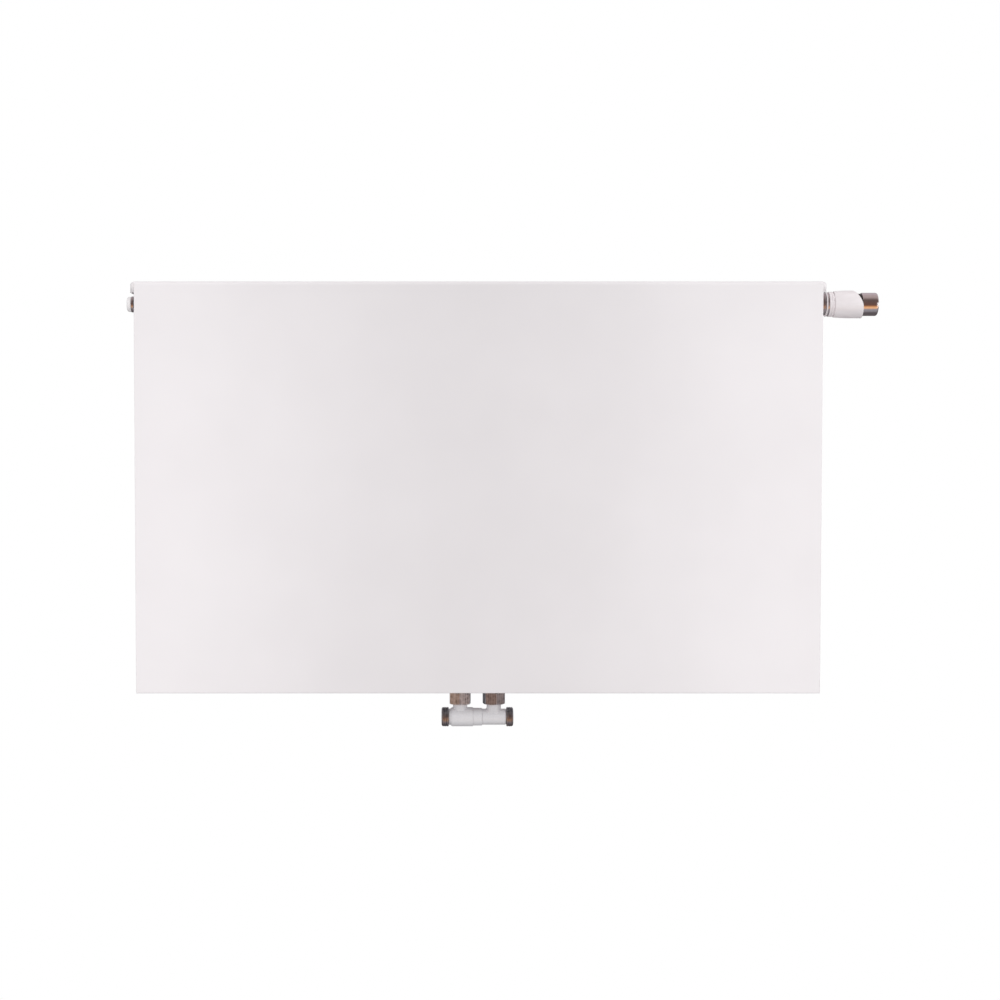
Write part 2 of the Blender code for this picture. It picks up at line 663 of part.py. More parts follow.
# ----------------------------------------------------------- shut-off block
def make_block_body(name, side, radius, inner, outer):
    """Half of the angle shut-off block: up to the radiator, back to the wall."""
    at = (0, MID_Y, BLOCK_Z)
    port = (side * PORT_X, MID_Y, BLOCK_Z)
    out = X_OUT if side > 0 else X_IN
    shoulder = outer - 0.0024
    profile = [(0, inner), (radius - 0.0006, inner), (radius, inner + 0.0006),
               (radius, shoulder - 0.0034), (radius - 0.0007, shoulder - 0.0014),
               (radius - 0.0022, shoulder), (radius - 0.0022, outer), (0, outer)]
    obj = turned(name, profile, at, out, BLOCK_PAINT, steps=20)
    join(
        obj,
        turned(f"add_{name}_neck", [
            (0, 0.0), (0.0099, 0.0), (0.0099, 0.0220), (0.0126, 0.0220),
            (0.0126, 0.0247), (0, 0.0247)], port, "+Z", steps=18),
        turned(f"add_{name}_port", [
            (0, 0.0), (0.0118, 0.0), (0.0118, 0.0180), (0.0132, 0.0186),
            (0.0132, 0.0332), (0.0125, 0.0340), (0, 0.0340)], port, Y_BACK, steps=18),
    )
    cut(
        obj,
        rod(f"cut_{name}_chamber", 0.0094, at, out, 0.0135, outer + 0.01, sides=17),
        rod(f"cut_{name}_neck", 0.0070, port, "+Z", 0.001, 0.04, sides=13),
        rod(f"cut_{name}_port", 0.0080, port, Y_BACK, 0.0013, 0.05, sides=15),
        rod(f"cut_{name}_socket", 0.0063, at, out, inner - 0.01, inner + 0.0038, sides=12),
    )
    return obj


def make_ball(name, side, stem_end):
    """Quarter-turn ball with its stem; its bore turns from up to back."""
    centre = (side * BALL_X, MID_Y, BLOCK_Z)
    out = X_OUT if side > 0 else X_IN
    profile = arc((0, 0), BALL_RADIUS, -90, 60, 6)
    profile[0] = (0, -BALL_RADIUS)
    tip = stem_end - BALL_X
    profile += [(0.0035, BALL_RADIUS), (0.0035, tip - 0.0004), (0.0031, tip), (0, tip)]
    obj = turned(name, profile, centre, out, NICKEL, steps=16)
    cut(
        obj,
        rod(f"cut_{name}_up", BALL_BORE, centre, "+Z", -0.002, 0.02, sides=12),
        rod(f"cut_{name}_back", BALL_BORE, centre, Y_BACK, -0.0021, 0.02, sides=12),
    )
    end = side * stem_end
    cut(obj, box(f"cut_{name}_slot",
                 (min(end, end - side * 0.0015) - 0.0002, MID_Y - 0.0006, BLOCK_Z - 0.006),
                 (max(end, end - side * 0.0015) + 0.0002, MID_Y + 0.0006, BLOCK_Z + 0.006)))
    return obj


def make_nut(name, x, turn):
    """Hexagon union nut: chamfered ends, stepped bore with a lip below."""
    corner = NUT_FLATS / math.sqrt(3)
    at = (x, MID_Y, 0)
    obj = rod(name, corner, at, "+Z", NUT_LOW, NUT_HIGH, NICKEL, sides=6)
    obj.rotation_euler = (0, 0, math.radians(turn))
    slope = 0.0014
    limit = [(0, NUT_LOW), (NUT_FLATS / 2 - 0.0004, NUT_LOW), (corner + 0.0004, NUT_LOW + slope),
             (corner + 0.0004, NUT_HIGH - slope), (NUT_FLATS / 2 - 0.0004, NUT_HIGH),
             (0, NUT_HIGH)]
    keep = turned(f"keep_{name}", limit, at, "+Z", steps=24)
    bore = [(0, NUT_LOW - 0.002), (0.0103, NUT_LOW - 0.002), (0.0103, -0.0198),
            (0.0135, -0.0198), (0.0135, NUT_HIGH + 0.002), (0, NUT_HIGH + 0.002)]
    boolean(obj, "INTERSECT", keep)
    cut(obj, turned(f"cut_{name}_bore", bore, at, "+Z", steps=20))
    return obj


def make_cap(name, side, inner, outer):
    """Grooved screw cap over the stem of a shut-off."""
    at = (0, MID_Y, BLOCK_Z)
    out = X_OUT if side > 0 else X_IN
    radius, groove = 0.0143, 0.0137
    step = (outer - inner) / 3
    profile = [(radius - 0.0008, inner), (radius, inner + 0.0008)]
    for i in (1, 2):
        z = inner + i * step
        profile += [(radius, z - 0.0005), (groove, z), (radius, z + 0.0005)]
    profile += [(radius, outer - 0.0022), (radius - 0.0008, outer - 0.0007),
                (radius - 0.0024, outer), (0, outer), (0, outer - 0.0020),
                (0.0112, outer - 0.0020), (0.0112, inner)]
    return turned(name, profile, at, out, NICKEL, steps=22)


def make_shut_off_block():
    at = (0, MID_Y, BLOCK_Z)
    make_block_body("block_left", -1, LEFT_RADIUS, 0.0061, 0.0417)
    make_block_body("block_right", 1, RIGHT_RADIUS, 0.0076, 0.0433)
    link = [(0, -0.0093), (0.0060, -0.0093), (0.0060, -0.0058), (0.0128, -0.0058),
            (0.0133, -0.0053), (0.0133, 0.0068), (0.0128, 0.0073), (0.0060, 0.0073),
            (0.0060, 0.0108), (0, 0.0108)]
    turned("block_link", link, at, X_OUT, BLOCK_PAINT, steps=20)
    for label, side, body_end, cap_in, cap_out, stem in (
        ("left", -1, 0.0417, 0.0420, 0.0526, 0.0502),
        ("right", 1, 0.0433, 0.0437, 0.0537, 0.0513),
    ):
        out = X_OUT if side > 0 else X_IN
        make_ball(f"shut_off_ball_{label}", side, stem)
        gland = [(0.0091, 0.0366), (0.0091, body_end + 0.0036), (0.0085, body_end + 0.0042),
                 (0.0038, body_end + 0.0042), (0.0038, 0.0366)]
        turned(f"gland_{label}", gland, at, out, BRASS, steps=16)
        make_cap(f"stem_cap_{label}", side, cap_in, cap_out)
        seal = [(0.0124, -0.0165), (0.0124, -0.0148), (0.0082, -0.0148), (0.0082, -0.0165)]
        turned(f"nipple_seal_{label}", seal, (side * PORT_X, MID_Y, 0), "+Z", RUBBER,
               steps=16)
    make_nut("union_nut_left", -PORT_X, -5.6)
    make_nut("union_nut_right", PORT_X, 12.3)


def main():
    make_front()
    make_grille()
    make_side_cover("side_cover_left", -1, 0.0135)
    make_side_cover("side_cover_right", 1, 0.0145)
    front_holes = [(-TEE_X, LOW_Z), (TEE_X, LOW_Z), (-TEE_X, TOP_Z), (TEE_X, TOP_Z),
                   (-PORT_X, LOW_Z)]
    make_shell("front_shell_outer", FRONT_MID_Y, -1)
    make_shell("front_shell_inner", FRONT_MID_Y, 1, front_holes)
    make_shell("rear_shell_inner", REAR_MID_Y, -1, front_holes)
    make_shell("rear_shell_outer", REAR_MID_Y, 1)
    make_convector("front_convector", TUBE_FRONT_Y, 1)
    make_convector("rear_convector", TUBE_REAR_Y, -1)
    for height, z in zip(("bottom", "top"), LUG_Z):
        for label, side in (("left", -1), ("right", 1)):
            make_lug(f"lug_{height}_{label}", side * LUG_X, z)
    make_tee("tee_top_left", -1, TOP_Z, 0.5045)
    make_tee("tee_bottom_left", -1, LOW_Z, 0.4900)
    make_tee("tee_bottom_right", 1, LOW_Z, 0.4900)
    make_blind_plug("blind_plug_left", -1)
    make_blind_plug("blind_plug_right", 1)
    make_valve_housing()
    make_centre_block()
    make_supply_pipe()
    make_nipple("return_nipple", -PORT_X)
    make_nipple("flow_nipple", PORT_X)
    make_vent()
    make_valve()
    make_head()
    make_shut_off_block()


main()
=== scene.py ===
"""Panel radiator with a thermostatic valve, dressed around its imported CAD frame."""
import json
import math

import bmesh
import bpy
import numpy as np
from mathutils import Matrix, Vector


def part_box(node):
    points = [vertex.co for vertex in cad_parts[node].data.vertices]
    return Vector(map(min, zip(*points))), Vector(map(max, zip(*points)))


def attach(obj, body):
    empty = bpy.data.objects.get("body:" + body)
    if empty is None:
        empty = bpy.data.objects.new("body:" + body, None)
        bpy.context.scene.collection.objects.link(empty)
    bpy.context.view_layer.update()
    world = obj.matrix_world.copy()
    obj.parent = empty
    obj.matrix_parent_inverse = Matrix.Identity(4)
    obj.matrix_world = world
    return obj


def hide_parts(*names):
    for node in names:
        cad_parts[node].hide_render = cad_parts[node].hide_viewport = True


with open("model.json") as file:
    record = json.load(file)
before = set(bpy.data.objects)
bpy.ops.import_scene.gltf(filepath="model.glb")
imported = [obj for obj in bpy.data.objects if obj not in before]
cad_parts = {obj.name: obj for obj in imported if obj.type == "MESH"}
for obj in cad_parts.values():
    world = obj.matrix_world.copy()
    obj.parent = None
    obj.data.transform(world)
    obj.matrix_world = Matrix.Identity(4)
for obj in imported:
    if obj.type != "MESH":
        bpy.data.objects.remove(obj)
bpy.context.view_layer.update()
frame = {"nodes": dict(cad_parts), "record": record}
MM = 0.001
TAU = 2 * math.pi
HEADER_Y = -61.5 * MM  # how far off the wall the header and the block lie

# ------------------------------------------------------------------ camera
VIEW_LENS = 69.27  # on a 36 mm sensor
VIEW_PITCH = math.radians(2.45)
VIEW_AT = (-0.09, -2.912, 0.37)
VIEW_SHIFT = (0.0835, 0.0224)  # of the sensor's width

eye = bpy.data.cameras.new("studio_camera")
eye.lens = VIEW_LENS
eye.sensor_width = 36.0
eye.shift_x, eye.shift_y = VIEW_SHIFT
eye_object = bpy.data.objects.new("studio_camera", eye)
eye_object.location = VIEW_AT
eye_object.rotation_euler = (math.pi / 2 - VIEW_PITCH, 0.0, 0.0)
bpy.context.scene.collection.objects.link(eye_object)
bpy.context.scene.camera = eye_object
bpy.context.scene.view_settings.view_transform = "Standard"


# ------------------------------------------------------------------- nodes
def linear(code):
    """sRGB hex to linear: c/12.92 below 0.04045, else ((c+0.055)/1.055)^2.4."""
    values = [int(code[i:i + 2], 16) / 255 for i in (1, 3, 5)]
    return tuple(
        v / 12.92 if v <= 0.04045 else ((v + 0.055) / 1.055) ** 2.4 for v in values
    )


def add(tree, kind, links=None, **settings):
    """One node: settings go to its properties, or else to its inputs."""
    made = tree.nodes.new(kind)
    for key, value in settings.items():
        if hasattr(made, key):
            setattr(made, key, value)
        else:
            made.inputs[key.replace("_", " ")].default_value = value
    for key, socket in (links or {}).items():
        tree.links.new(socket, made.inputs[key])
    return made


def ramp(tree, factor, stops, interpolation="LINEAR"):
    """A colour ramp whose stops are (place, colour); colours are linear."""
    made = add(tree, "ShaderNodeValToRGB", {"Fac": factor})
    made.color_ramp.interpolation = interpolation
    points = made.color_ramp.elements
    while len(points) < len(stops):
        points.new(0.5)
    for point, (place, colour) in zip(points, stops):
        point.position = place
        point.color = (*colour, 1.0)
    return made.outputs["Color"]


# ------------------------------------------------------------ studio light
# Round the X axis, from behind-below by the floor in front, the eye's own
# height and the ceiling to behind: what a bright metal mirrors.
MIRRORED = (
    (-180, "#5a5654"), (-100, "#585254"), (-70, "#888488"), (-58, "#8c8a92"),
    (-38, "#e8b284"), (-26, "#c89064"), (-16, "#845c46"), (-8, "#644a42"),
    (35, "#5e4e4a"), (80, "#a69694"), (130, "#b4a6aa"), (160, "#9c989a"),
    (180, "#8a8688"),
)
MIRRORED_LIGHT = 1.28
# The same way round, how bright the room is for matt surfaces.
ROOM = (
    (-180, 0.95), (-125, 0.90), (-92, 0.60), (-45, 0.68), (0, 0.66), (25, 0.95),
    (46, 2.30), (62, 2.10), (80, 1.20), (100, 0.85), (125, 1.05), (180, 0.95),
)
ROOM_LIGHT = 0.630
ROOM_MOST = 2.3  # the brightest of its stops, which a ramp can't pass 1 to hold


def make_studio():
    world = bpy.data.worlds.new("studio")
    bpy.context.scene.world = world
    world.use_nodes = True
    world.cycles.sampling_method = "NONE"
    tree = world.node_tree
    tree.nodes.clear()
    where = add(tree, "ShaderNodeTexCoord")
    parts = add(tree, "ShaderNodeSeparateXYZ", {"Vector": where.outputs["Generated"]})
    front = add(tree, "ShaderNodeMath", {0: parts.outputs["Y"]}, operation="MULTIPLY")
    front.inputs[1].default_value = -1.0
    angle = add(tree, "ShaderNodeMath",
                {0: parts.outputs["Z"], 1: front.outputs[0]}, operation="ARCTAN2")
    place = add(tree, "ShaderNodeMath", {0: angle.outputs[0]}, operation="MULTIPLY_ADD")
    place.inputs[1].default_value = 1 / TAU
    place.inputs[2].default_value = 0.5

    def stops(rows):
        return [
            ((deg + 180) / 360, linear(v) if isinstance(v, str) else (v, v, v))
            for deg, v in rows
        ]

    seen = add(tree, "ShaderNodeLightPath")
    mirrored = ramp(tree, place.outputs[0], stops(MIRRORED), "EASE")
    room = ramp(tree, place.outputs[0], [
        (p, tuple(x / ROOM_MOST for x in c)) for p, c in stops(ROOM)], "B_SPLINE")
    matt = add(tree, "ShaderNodeBackground", {"Color": room},
               Strength=ROOM_LIGHT * ROOM_MOST)
    shiny = add(tree, "ShaderNodeBackground", {"Color": mirrored},
                Strength=MIRRORED_LIGHT)
    white = add(tree, "ShaderNodeBackground", Strength=1.0)
    white.inputs["Color"].default_value = (1, 1, 1, 1)
    first = add(tree, "ShaderNodeMixShader", {
        "Fac": seen.outputs["Is Glossy Ray"], 1: matt.outputs[0], 2: shiny.outputs[0]})
    last = add(tree, "ShaderNodeMixShader", {
        "Fac": seen.outputs["Is Camera Ray"], 1: first.outputs[0], 2: white.outputs[0]})
    add(tree, "ShaderNodeOutputWorld", {"Surface": last.outputs[0]})


def softbox(name, centre, aim, size, watts, mirrored=True):
    """A rectangular light that the camera can't see."""
    light = bpy.data.lights.new(name, "AREA")
    light.shape = "RECTANGLE"
    light.size, light.size_y = size
    light.energy = watts
    light.spread = math.pi
    made = bpy.data.objects.new(name, light)
    made.location = centre
    toward = np.subtract(aim, centre)
    made.rotation_euler = (
        math.atan2(math.hypot(toward[0], toward[1]), -toward[2]), 0.0,
        math.atan2(-toward[0], toward[1]),
    )
    made.visible_camera = False
    made.visible_glossy = mirrored
    bpy.context.scene.collection.objects.link(made)


make_studio()
# Two tall boxes, square on to the panel's two ends: they leave its middle a
# little darker.
softbox("tall_box_left", (-0.50, -0.612, 0.30), (-0.50, 0.0, 0.30), (0.2, 1.4), 1.44,
        mirrored=False)
softbox("tall_box_right", (0.50, -0.612, 0.30), (0.50, 0.0, 0.30), (0.2, 1.4), 1.46,
        mirrored=False)
# Two narrow boxes well to the sides, for the metal to mirror.
softbox("strip_left", (-1.55, -1.30, 0.20), (0.0, -0.06, 0.1), (0.30, 1.6), 2.2)
softbox("strip_right", (1.30, -1.60, 0.20), (0.0, -0.06, 0.1), (0.30, 1.6), 2.0)
# A small window out to the right, mirrored along the end cap's rounded edge.
softbox("window_right", (2.30, 0.40, 0.58), (0.58, -0.06, 0.57), (0.45, 0.45), 7.0)


# --------------------------------------------------------------- materials
def finish(name, metallic=0.0, **shader):
    """An empty material with its shader; settings go to the shader's sockets."""
    made = bpy.data.materials.new(name)
    made.use_nodes = True
    tree = made.node_tree
    tree.nodes.clear()
    bsdf = add(tree, "ShaderNodeBsdfPrincipled", Metallic=metallic)
    for key, value in shader.items():
        bsdf.inputs[key.replace("_", " ")].default_value = value
    add(tree, "ShaderNodeOutputMaterial", {"Surface": bsdf.outputs[0]})
    where = add(tree, "ShaderNodeTexCoord").outputs["Object"]
    return made, tree, bsdf, where


def grain(tree, where, size, stretch=(1, 1, 1), detail=3.0):
    """Noise whose blotches are about size metres across, times stretch."""
    mapped = add(tree, "ShaderNodeMapping", {"Vector": where})
    mapped.inputs["Scale"].default_value = [1 / (size * s) for s in stretch]
    return add(tree, "ShaderNodeTexNoise", {"Vector": mapped.outputs[0]},
               Scale=1.0, Detail=detail, Roughness=0.55).outputs["Fac"]


def between(tree, factor, low, high, first=0.3, last=0.7):
    """The factor, which lies round 0.5, spread over low to high."""
    made = add(tree, "ShaderNodeMapRange", {"Value": factor})
    for key, value in zip(("From Min", "From Max", "To Min", "To Max"),
                          (first, last, low, high)):
        made.inputs[key].default_value = value
    return made.outputs["Result"]


def rough_and_bump(tree, bsdf, roughness, heights):
    """Links a roughness, and stacks bumps given as (height, depth in metres)."""
    tree.links.new(roughness, bsdf.inputs["Roughness"])
    normal = None
    for height, depth in heights:
        links = {"Height": height}
        if normal is not None:
            links["Normal"] = normal
        normal = add(tree, "ShaderNodeBump", links, Strength=1.0,
                     Distance=depth).outputs["Normal"]
    tree.links.new(normal, bsdf.inputs["Normal"])


def tone(tree, bsdf, factor, dark, light):
    """Colours the surface from dark to light over the middle of a factor."""
    colour = ramp(tree, factor, [(0.32, linear(dark)), (0.68, linear(light))])
    tree.links.new(colour, bsdf.inputs["Base Color"])


def worn_edges(tree, factor, low, high):
    """Adds to a factor where the mesh is convex, as an edge that gets rubbed."""
    round_it = add(tree, "ShaderNodeNewGeometry").outputs["Pointiness"]
    edge = between(tree, round_it, low, high, 0.50, 0.56)
    return add(tree, "ShaderNodeMath", {0: factor, 1: edge}, operation="ADD").outputs[0]


def powder_coated_steel(name, dark, light):
    """Polyester powder sprayed on sheet steel and baked: an even, semi-gloss
    white with the shallow dimples of orange peel, 3 mm apart, drawn a little
    deeper than they are, and a finer haze from the powder's own grain."""
    made, tree, bsdf, where = finish(name, Coat_Weight=0.12, Coat_Roughness=0.16)
    bsdf.inputs["Specular IOR Level"].default_value = 0.46
    peel = grain(tree, where, 3.2 * MM, detail=1.0)
    haze = grain(tree, where, 0.7 * MM, detail=2.0)
    broad = grain(tree, where, 140 * MM, detail=2.0)
    tone(tree, bsdf, worn_edges(tree, broad, 0.0, 0.12), dark, light)
    rough_and_bump(tree, bsdf, between(tree, haze, 0.34, 0.42),
                   [(peel, 0.020 * MM), (haze, 0.004 * MM)])
    return made


def lacquered_brass():
    """Hot-pressed brass under white lacquer: the skin keeps the slight waves
    of the blank beneath it and pulls thin on the edges."""
    made, tree, bsdf, where = finish("white_lacquer_on_pressed_brass", Coat_Weight=0.10,
                                     Coat_Roughness=0.22)
    waves = grain(tree, where, 2.4 * MM, detail=2.0)
    fine = grain(tree, where, 0.35 * MM, detail=2.0)
    tone(tree, bsdf, worn_edges(tree, waves, -0.05, 0.25), "#f0eef1", "#f7f5f8")
    rough_and_bump(tree, bsdf, between(tree, fine, 0.36, 0.48),
                   [(waves, 0.035 * MM), (fine, 0.008 * MM)])
    return made


def moulded_abs(name, dark, light, roughness=(0.28, 0.38)):
    """Injection-moulded ABS from a polished mould: close-grained satin with a
    barely visible flow pattern along the tool's pull."""
    made, tree, bsdf, where = finish(name, IOR=1.54)
    flow = grain(tree, where, 6.0 * MM, stretch=(3, 1, 1), detail=2.0)
    spark = grain(tree, where, 0.45 * MM, detail=1.0)
    tone(tree, bsdf, worn_edges(tree, flow, -0.04, 0.2), dark, light)
    rough_and_bump(tree, bsdf, between(tree, flow, *roughness), [(spark, 0.004 * MM)])
    return made


def plated(name, dark, light, roughness, size, stretch, depth, detail=3.0):
    """Nickel or chrome over machined brass: a mirror broken by the marks of the
    tool, which run the way of stretch, rubbed brighter on the edges."""
    made, tree, bsdf, where = finish(name, metallic=1.0)
    marks = grain(tree, where, size, stretch=stretch, detail=detail)
    cloud = grain(tree, where, 5.0 * MM, detail=2.0)
    both = add(tree, "ShaderNodeMath", {0: marks, 1: cloud}, operation="ADD").outputs[0]
    half = add(tree, "ShaderNodeMath", {0: both}, operation="MULTIPLY")
    half.inputs[1].default_value = 0.5
    tone(tree, bsdf, worn_edges(tree, half.outputs[0], -0.02, 0.3), dark, light)
    rough_and_bump(tree, bsdf, between(tree, half.outputs[0], *roughness),
                   [(marks, depth)])
    return made


def soft_rubber():
    """Moulded EPDM: matt black with a grey bloom and a fine skin."""
    made, tree, bsdf, where = finish("moulded_epdm_rubber")
    bloom = grain(tree, where, 2.5 * MM, detail=3.0)
    skin = grain(tree, where, 0.4 * MM, detail=1.0)
    tone(tree, bsdf, bloom, "#141415", "#262627")
    rough_and_bump(tree, bsdf, between(tree, bloom, 0.62, 0.82), [(skin, 0.01 * MM)])
    return made


ALONG_X, ALONG_Z = (40, 1, 1), (1, 1, 40)
ROUND_X = (1, 60, 60)
PAINT = powder_coated_steel("powder_coated_sheet_steel", "#efebed", "#f2eef0")
LACQUER = lacquered_brass()
SLEEVE_ABS = moulded_abs("satin_moulded_abs", "#efe8ea", "#f4eef0")
CAP_ABS = moulded_abs("bright_white_moulded_abs", "#f6f3f4", "#fbf9fa")
# Black moulded plastic whose black is also painted shade: it stands in for the shade in
# the gap behind the sleeve's cut.
BLACK_ABS_AND_PAINTED_SHADE = moulded_abs("black_abs_and_painted_gap_shade", "#17130f", "#211b18", (0.22, 0.32))
CHROME = plated("bright_chrome_plate", "#e0dddf", "#ebe9ea", (0.035, 0.075), 3.0 * MM,
                (1, 2, 2), 0.0008 * MM)
TURNED_NICKEL = plated("nickel_plated_turned_brass", "#a7a3a5", "#d2cfd2", (0.24, 0.38),
                       0.55 * MM, ROUND_X, 0.006 * MM)
DRAWN_NICKEL = plated("nickel_plated_drawn_hexagon", "#939eac", "#e6effa", (0.26, 0.34),
                      1.5 * MM, ALONG_Z, 0.0008 * MM, 2.0)
CAP_NICKEL = plated("nickel_plated_grooved_caps", "#8f9095", "#bfbfc4", (0.34, 0.46),
                    0.5 * MM, ROUND_X, 0.006 * MM)
BRASS = plated("turned_brass", "#c09a55", "#dcb976", (0.26, 0.40), 0.5 * MM, ROUND_X,
               0.006 * MM)
BRASS_UP = plated("turned_brass_upright", "#c09a55", "#dcb976", (0.26, 0.40), 0.5 * MM,
                  (60, 60, 1), 0.006 * MM)
WIRE = plated("drawn_stainless_wire", "#9d9c9d", "#c2c1c2", (0.22, 0.34), 0.4 * MM,
              (6, 1, 1), 0.003 * MM)
ALUMINIUM = plated("drawn_aluminium_can", "#c9cacc", "#dddee0", (0.30, 0.42), 0.4 * MM,
                   ALONG_X, 0.004 * MM)
RUBBER = soft_rubber()


# ---------------------------------------------------------------- surfaces
BODY_OF = {
    node: body
    for body, nodes in frame["record"]["behaviour"]["bodies"].items() for node in nodes
}
SLOT_OF = {row["node"]: row["material_slot"] for row in frame["record"]["subparts"]}


def grid_faces(n, m, wrap_u, wrap_v):
    """Corner indices of every cell of an n by m grid, as rows of four."""
    u = np.arange(n if wrap_u else n - 1)[:, None]
    v = np.arange(m if wrap_v else m - 1)[None, :]
    a, b = u * m + v, ((u + 1) % n) * m + v
    c, d = ((u + 1) % n) * m + (v + 1) % m, u * m + (v + 1) % m
    return np.stack([a, b, c, d], axis=-1).reshape(-1, 4)


def shell_mesh(name, grids):
    """One mesh of surfaces, each given as (points, wrap_u, wrap_v). The sign of a
    surface's volume, sum(a . b x c) / 6 over its cells' triangles, says whether
    it has to be turned out."""
    verts, faces, start = [], [], 0
    for points, wrap_u, wrap_v in grids:
        n, m = points.shape[:2]
        flat = points.reshape(-1, 3)
        quads = grid_faces(n, m, wrap_u, wrap_v)
        a, b, c, d = (flat[quads[:, k]] for k in range(4))
        middle = flat.mean(axis=0)
        a, b, c, d = a - middle, b - middle, c - middle, d - middle
        volume = (np.cross(b, c) * a).sum() + (np.cross(c, d) * a).sum()
        if volume < 0:
            quads = quads[:, ::-1]
        verts.append(flat)
        faces.append(quads + start)
        start += len(flat)
    mesh = bpy.data.meshes.new(name)
    mesh.from_pydata(np.concatenate(verts).tolist(), [], np.concatenate(faces).tolist())
    bm = bmesh.new()
    bm.from_mesh(mesh)
    bmesh.ops.remove_doubles(bm, verts=bm.verts, dist=1e-7)
    bmesh.ops.dissolve_degenerate(bm, edges=bm.edges, dist=1e-8)
    bm.to_mesh(mesh)
    bm.free()
    return mesh


def piece(name, mesh, material, nodes, sharp=32):
    """Shades a mesh, hangs it on its body and lets it stand for its nodes."""
    mesh.materials.clear()
    mesh.materials.append(material)
    mesh.polygons.foreach_set("use_smooth", np.ones(len(mesh.polygons), bool))
    mesh.set_sharp_from_angle(angle=math.radians(sharp))
    made = bpy.data.objects.new(name, mesh)
    bpy.context.scene.collection.objects.link(made)
    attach(made, BODY_OF[nodes[0]])
    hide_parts(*nodes)
    return made


def eased(points, per=5):
    """A profile of (along, radius, ease) in metres: each corner P is cut back by
    its ease and bridged by (1-t)^2 A + 2t(1-t) P + t^2 B."""
    rows = np.array(points, float)
    path, ease = rows[:, :2], rows[:, 2]
    t = np.linspace(0, 1, per)[:, None]
    out = []
    for k in range(len(path)):
        p = path[k]
        if ease[k] <= 0 or k in (0, len(path) - 1):
            out.append(p[None])
            continue
        back, on = path[k - 1] - p, path[k + 1] - p
        lb, lo = np.hypot(*back), np.hypot(*on)
        a = p + back / lb * min(ease[k], 0.48 * lb)
        b = p + on / lo * min(ease[k], 0.48 * lo)
        out.append((1 - t) ** 2 * a + 2 * t * (1 - t) * p + t ** 2 * b)
    return np.concatenate(out)


AXES = {"+X": (0, 1, 2, 1), "-X": (0, 1, 2, -1), "+Y": (1, 0, 2, 1),
        "+Z": (2, 0, 1, 1), "-Z": (2, 0, 1, -1)}


def lathe(profile, centre, axis, steps=96, reach=None, corner=None, start=0.0):
    """P(u, v) = C + s(u) a + r(u) (cos v e1 + sin v e2). reach(s, v) may move s,
    and corner(v) is the most that r may be, as on a hexagon."""
    a, e1, e2, sign = AXES[axis]
    s, r = profile[:, 0][:, None], profile[:, 1][:, None]
    v = (start + np.arange(steps) * TAU / steps)[None, :]
    s, r = s + 0 * v, r + 0 * v
    if reach is not None:
        s = reach(s, r, v)
    if corner is not None:
        r = np.minimum(r, corner(v))
    points = np.zeros(s.shape + (3,))
    points[..., a] = sign * s
    points[..., e1] = r * np.cos(v)
    points[..., e2] = r * np.sin(v)
    return points + np.array(centre)


def closed(profile):
    """True if the profile comes back round, as a tube's does."""
    return profile[0][1] > 1e-9 and profile[-1][1] > 1e-9


def corners(node):
    """The low and the high corner of a node's box, in metres."""
    return (np.array(c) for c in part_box(node))


def span(node, axis):
    """The middle of a node's near end along its axis, and the node's length."""
    low, high = corners(node)
    k = "XYZ".index(axis[1])
    start = (low + high) / 2
    start[k] = low[k] if axis[0] == "+" else high[k]
    return start, high[k] - low[k]


def blank(rows, centre, axis, steps=96, **shape):
    """A closed lathed mesh, from rows of (mm along, mm radius, mm ease)."""
    profile = eased(np.array(rows, float) * MM)
    surface = lathe(profile, centre, axis, steps, **shape)
    return shell_mesh("blank", [(surface, closed(rows), True)])


def turned(name, nodes, axis, rows, material, steps=96, sharp=32, **shape):
    """A lathed piece that starts where its node starts, from a blank's rows."""
    centre, _ = span(nodes[0], axis)
    mesh = blank(rows, centre, axis, steps, **shape)
    mesh.name = name
    piece(name, mesh, material, nodes, sharp)


# ------------------------------------------------------------- sheet steel
def solidify(made, thickness, even=True):
    """Gives a sheet its wall, inwards from the surface that shows."""
    wall = made.modifiers.new("sheet", "SOLIDIFY")
    wall.thickness = thickness
    wall.offset = -1.0
    wall.use_even_offset = even


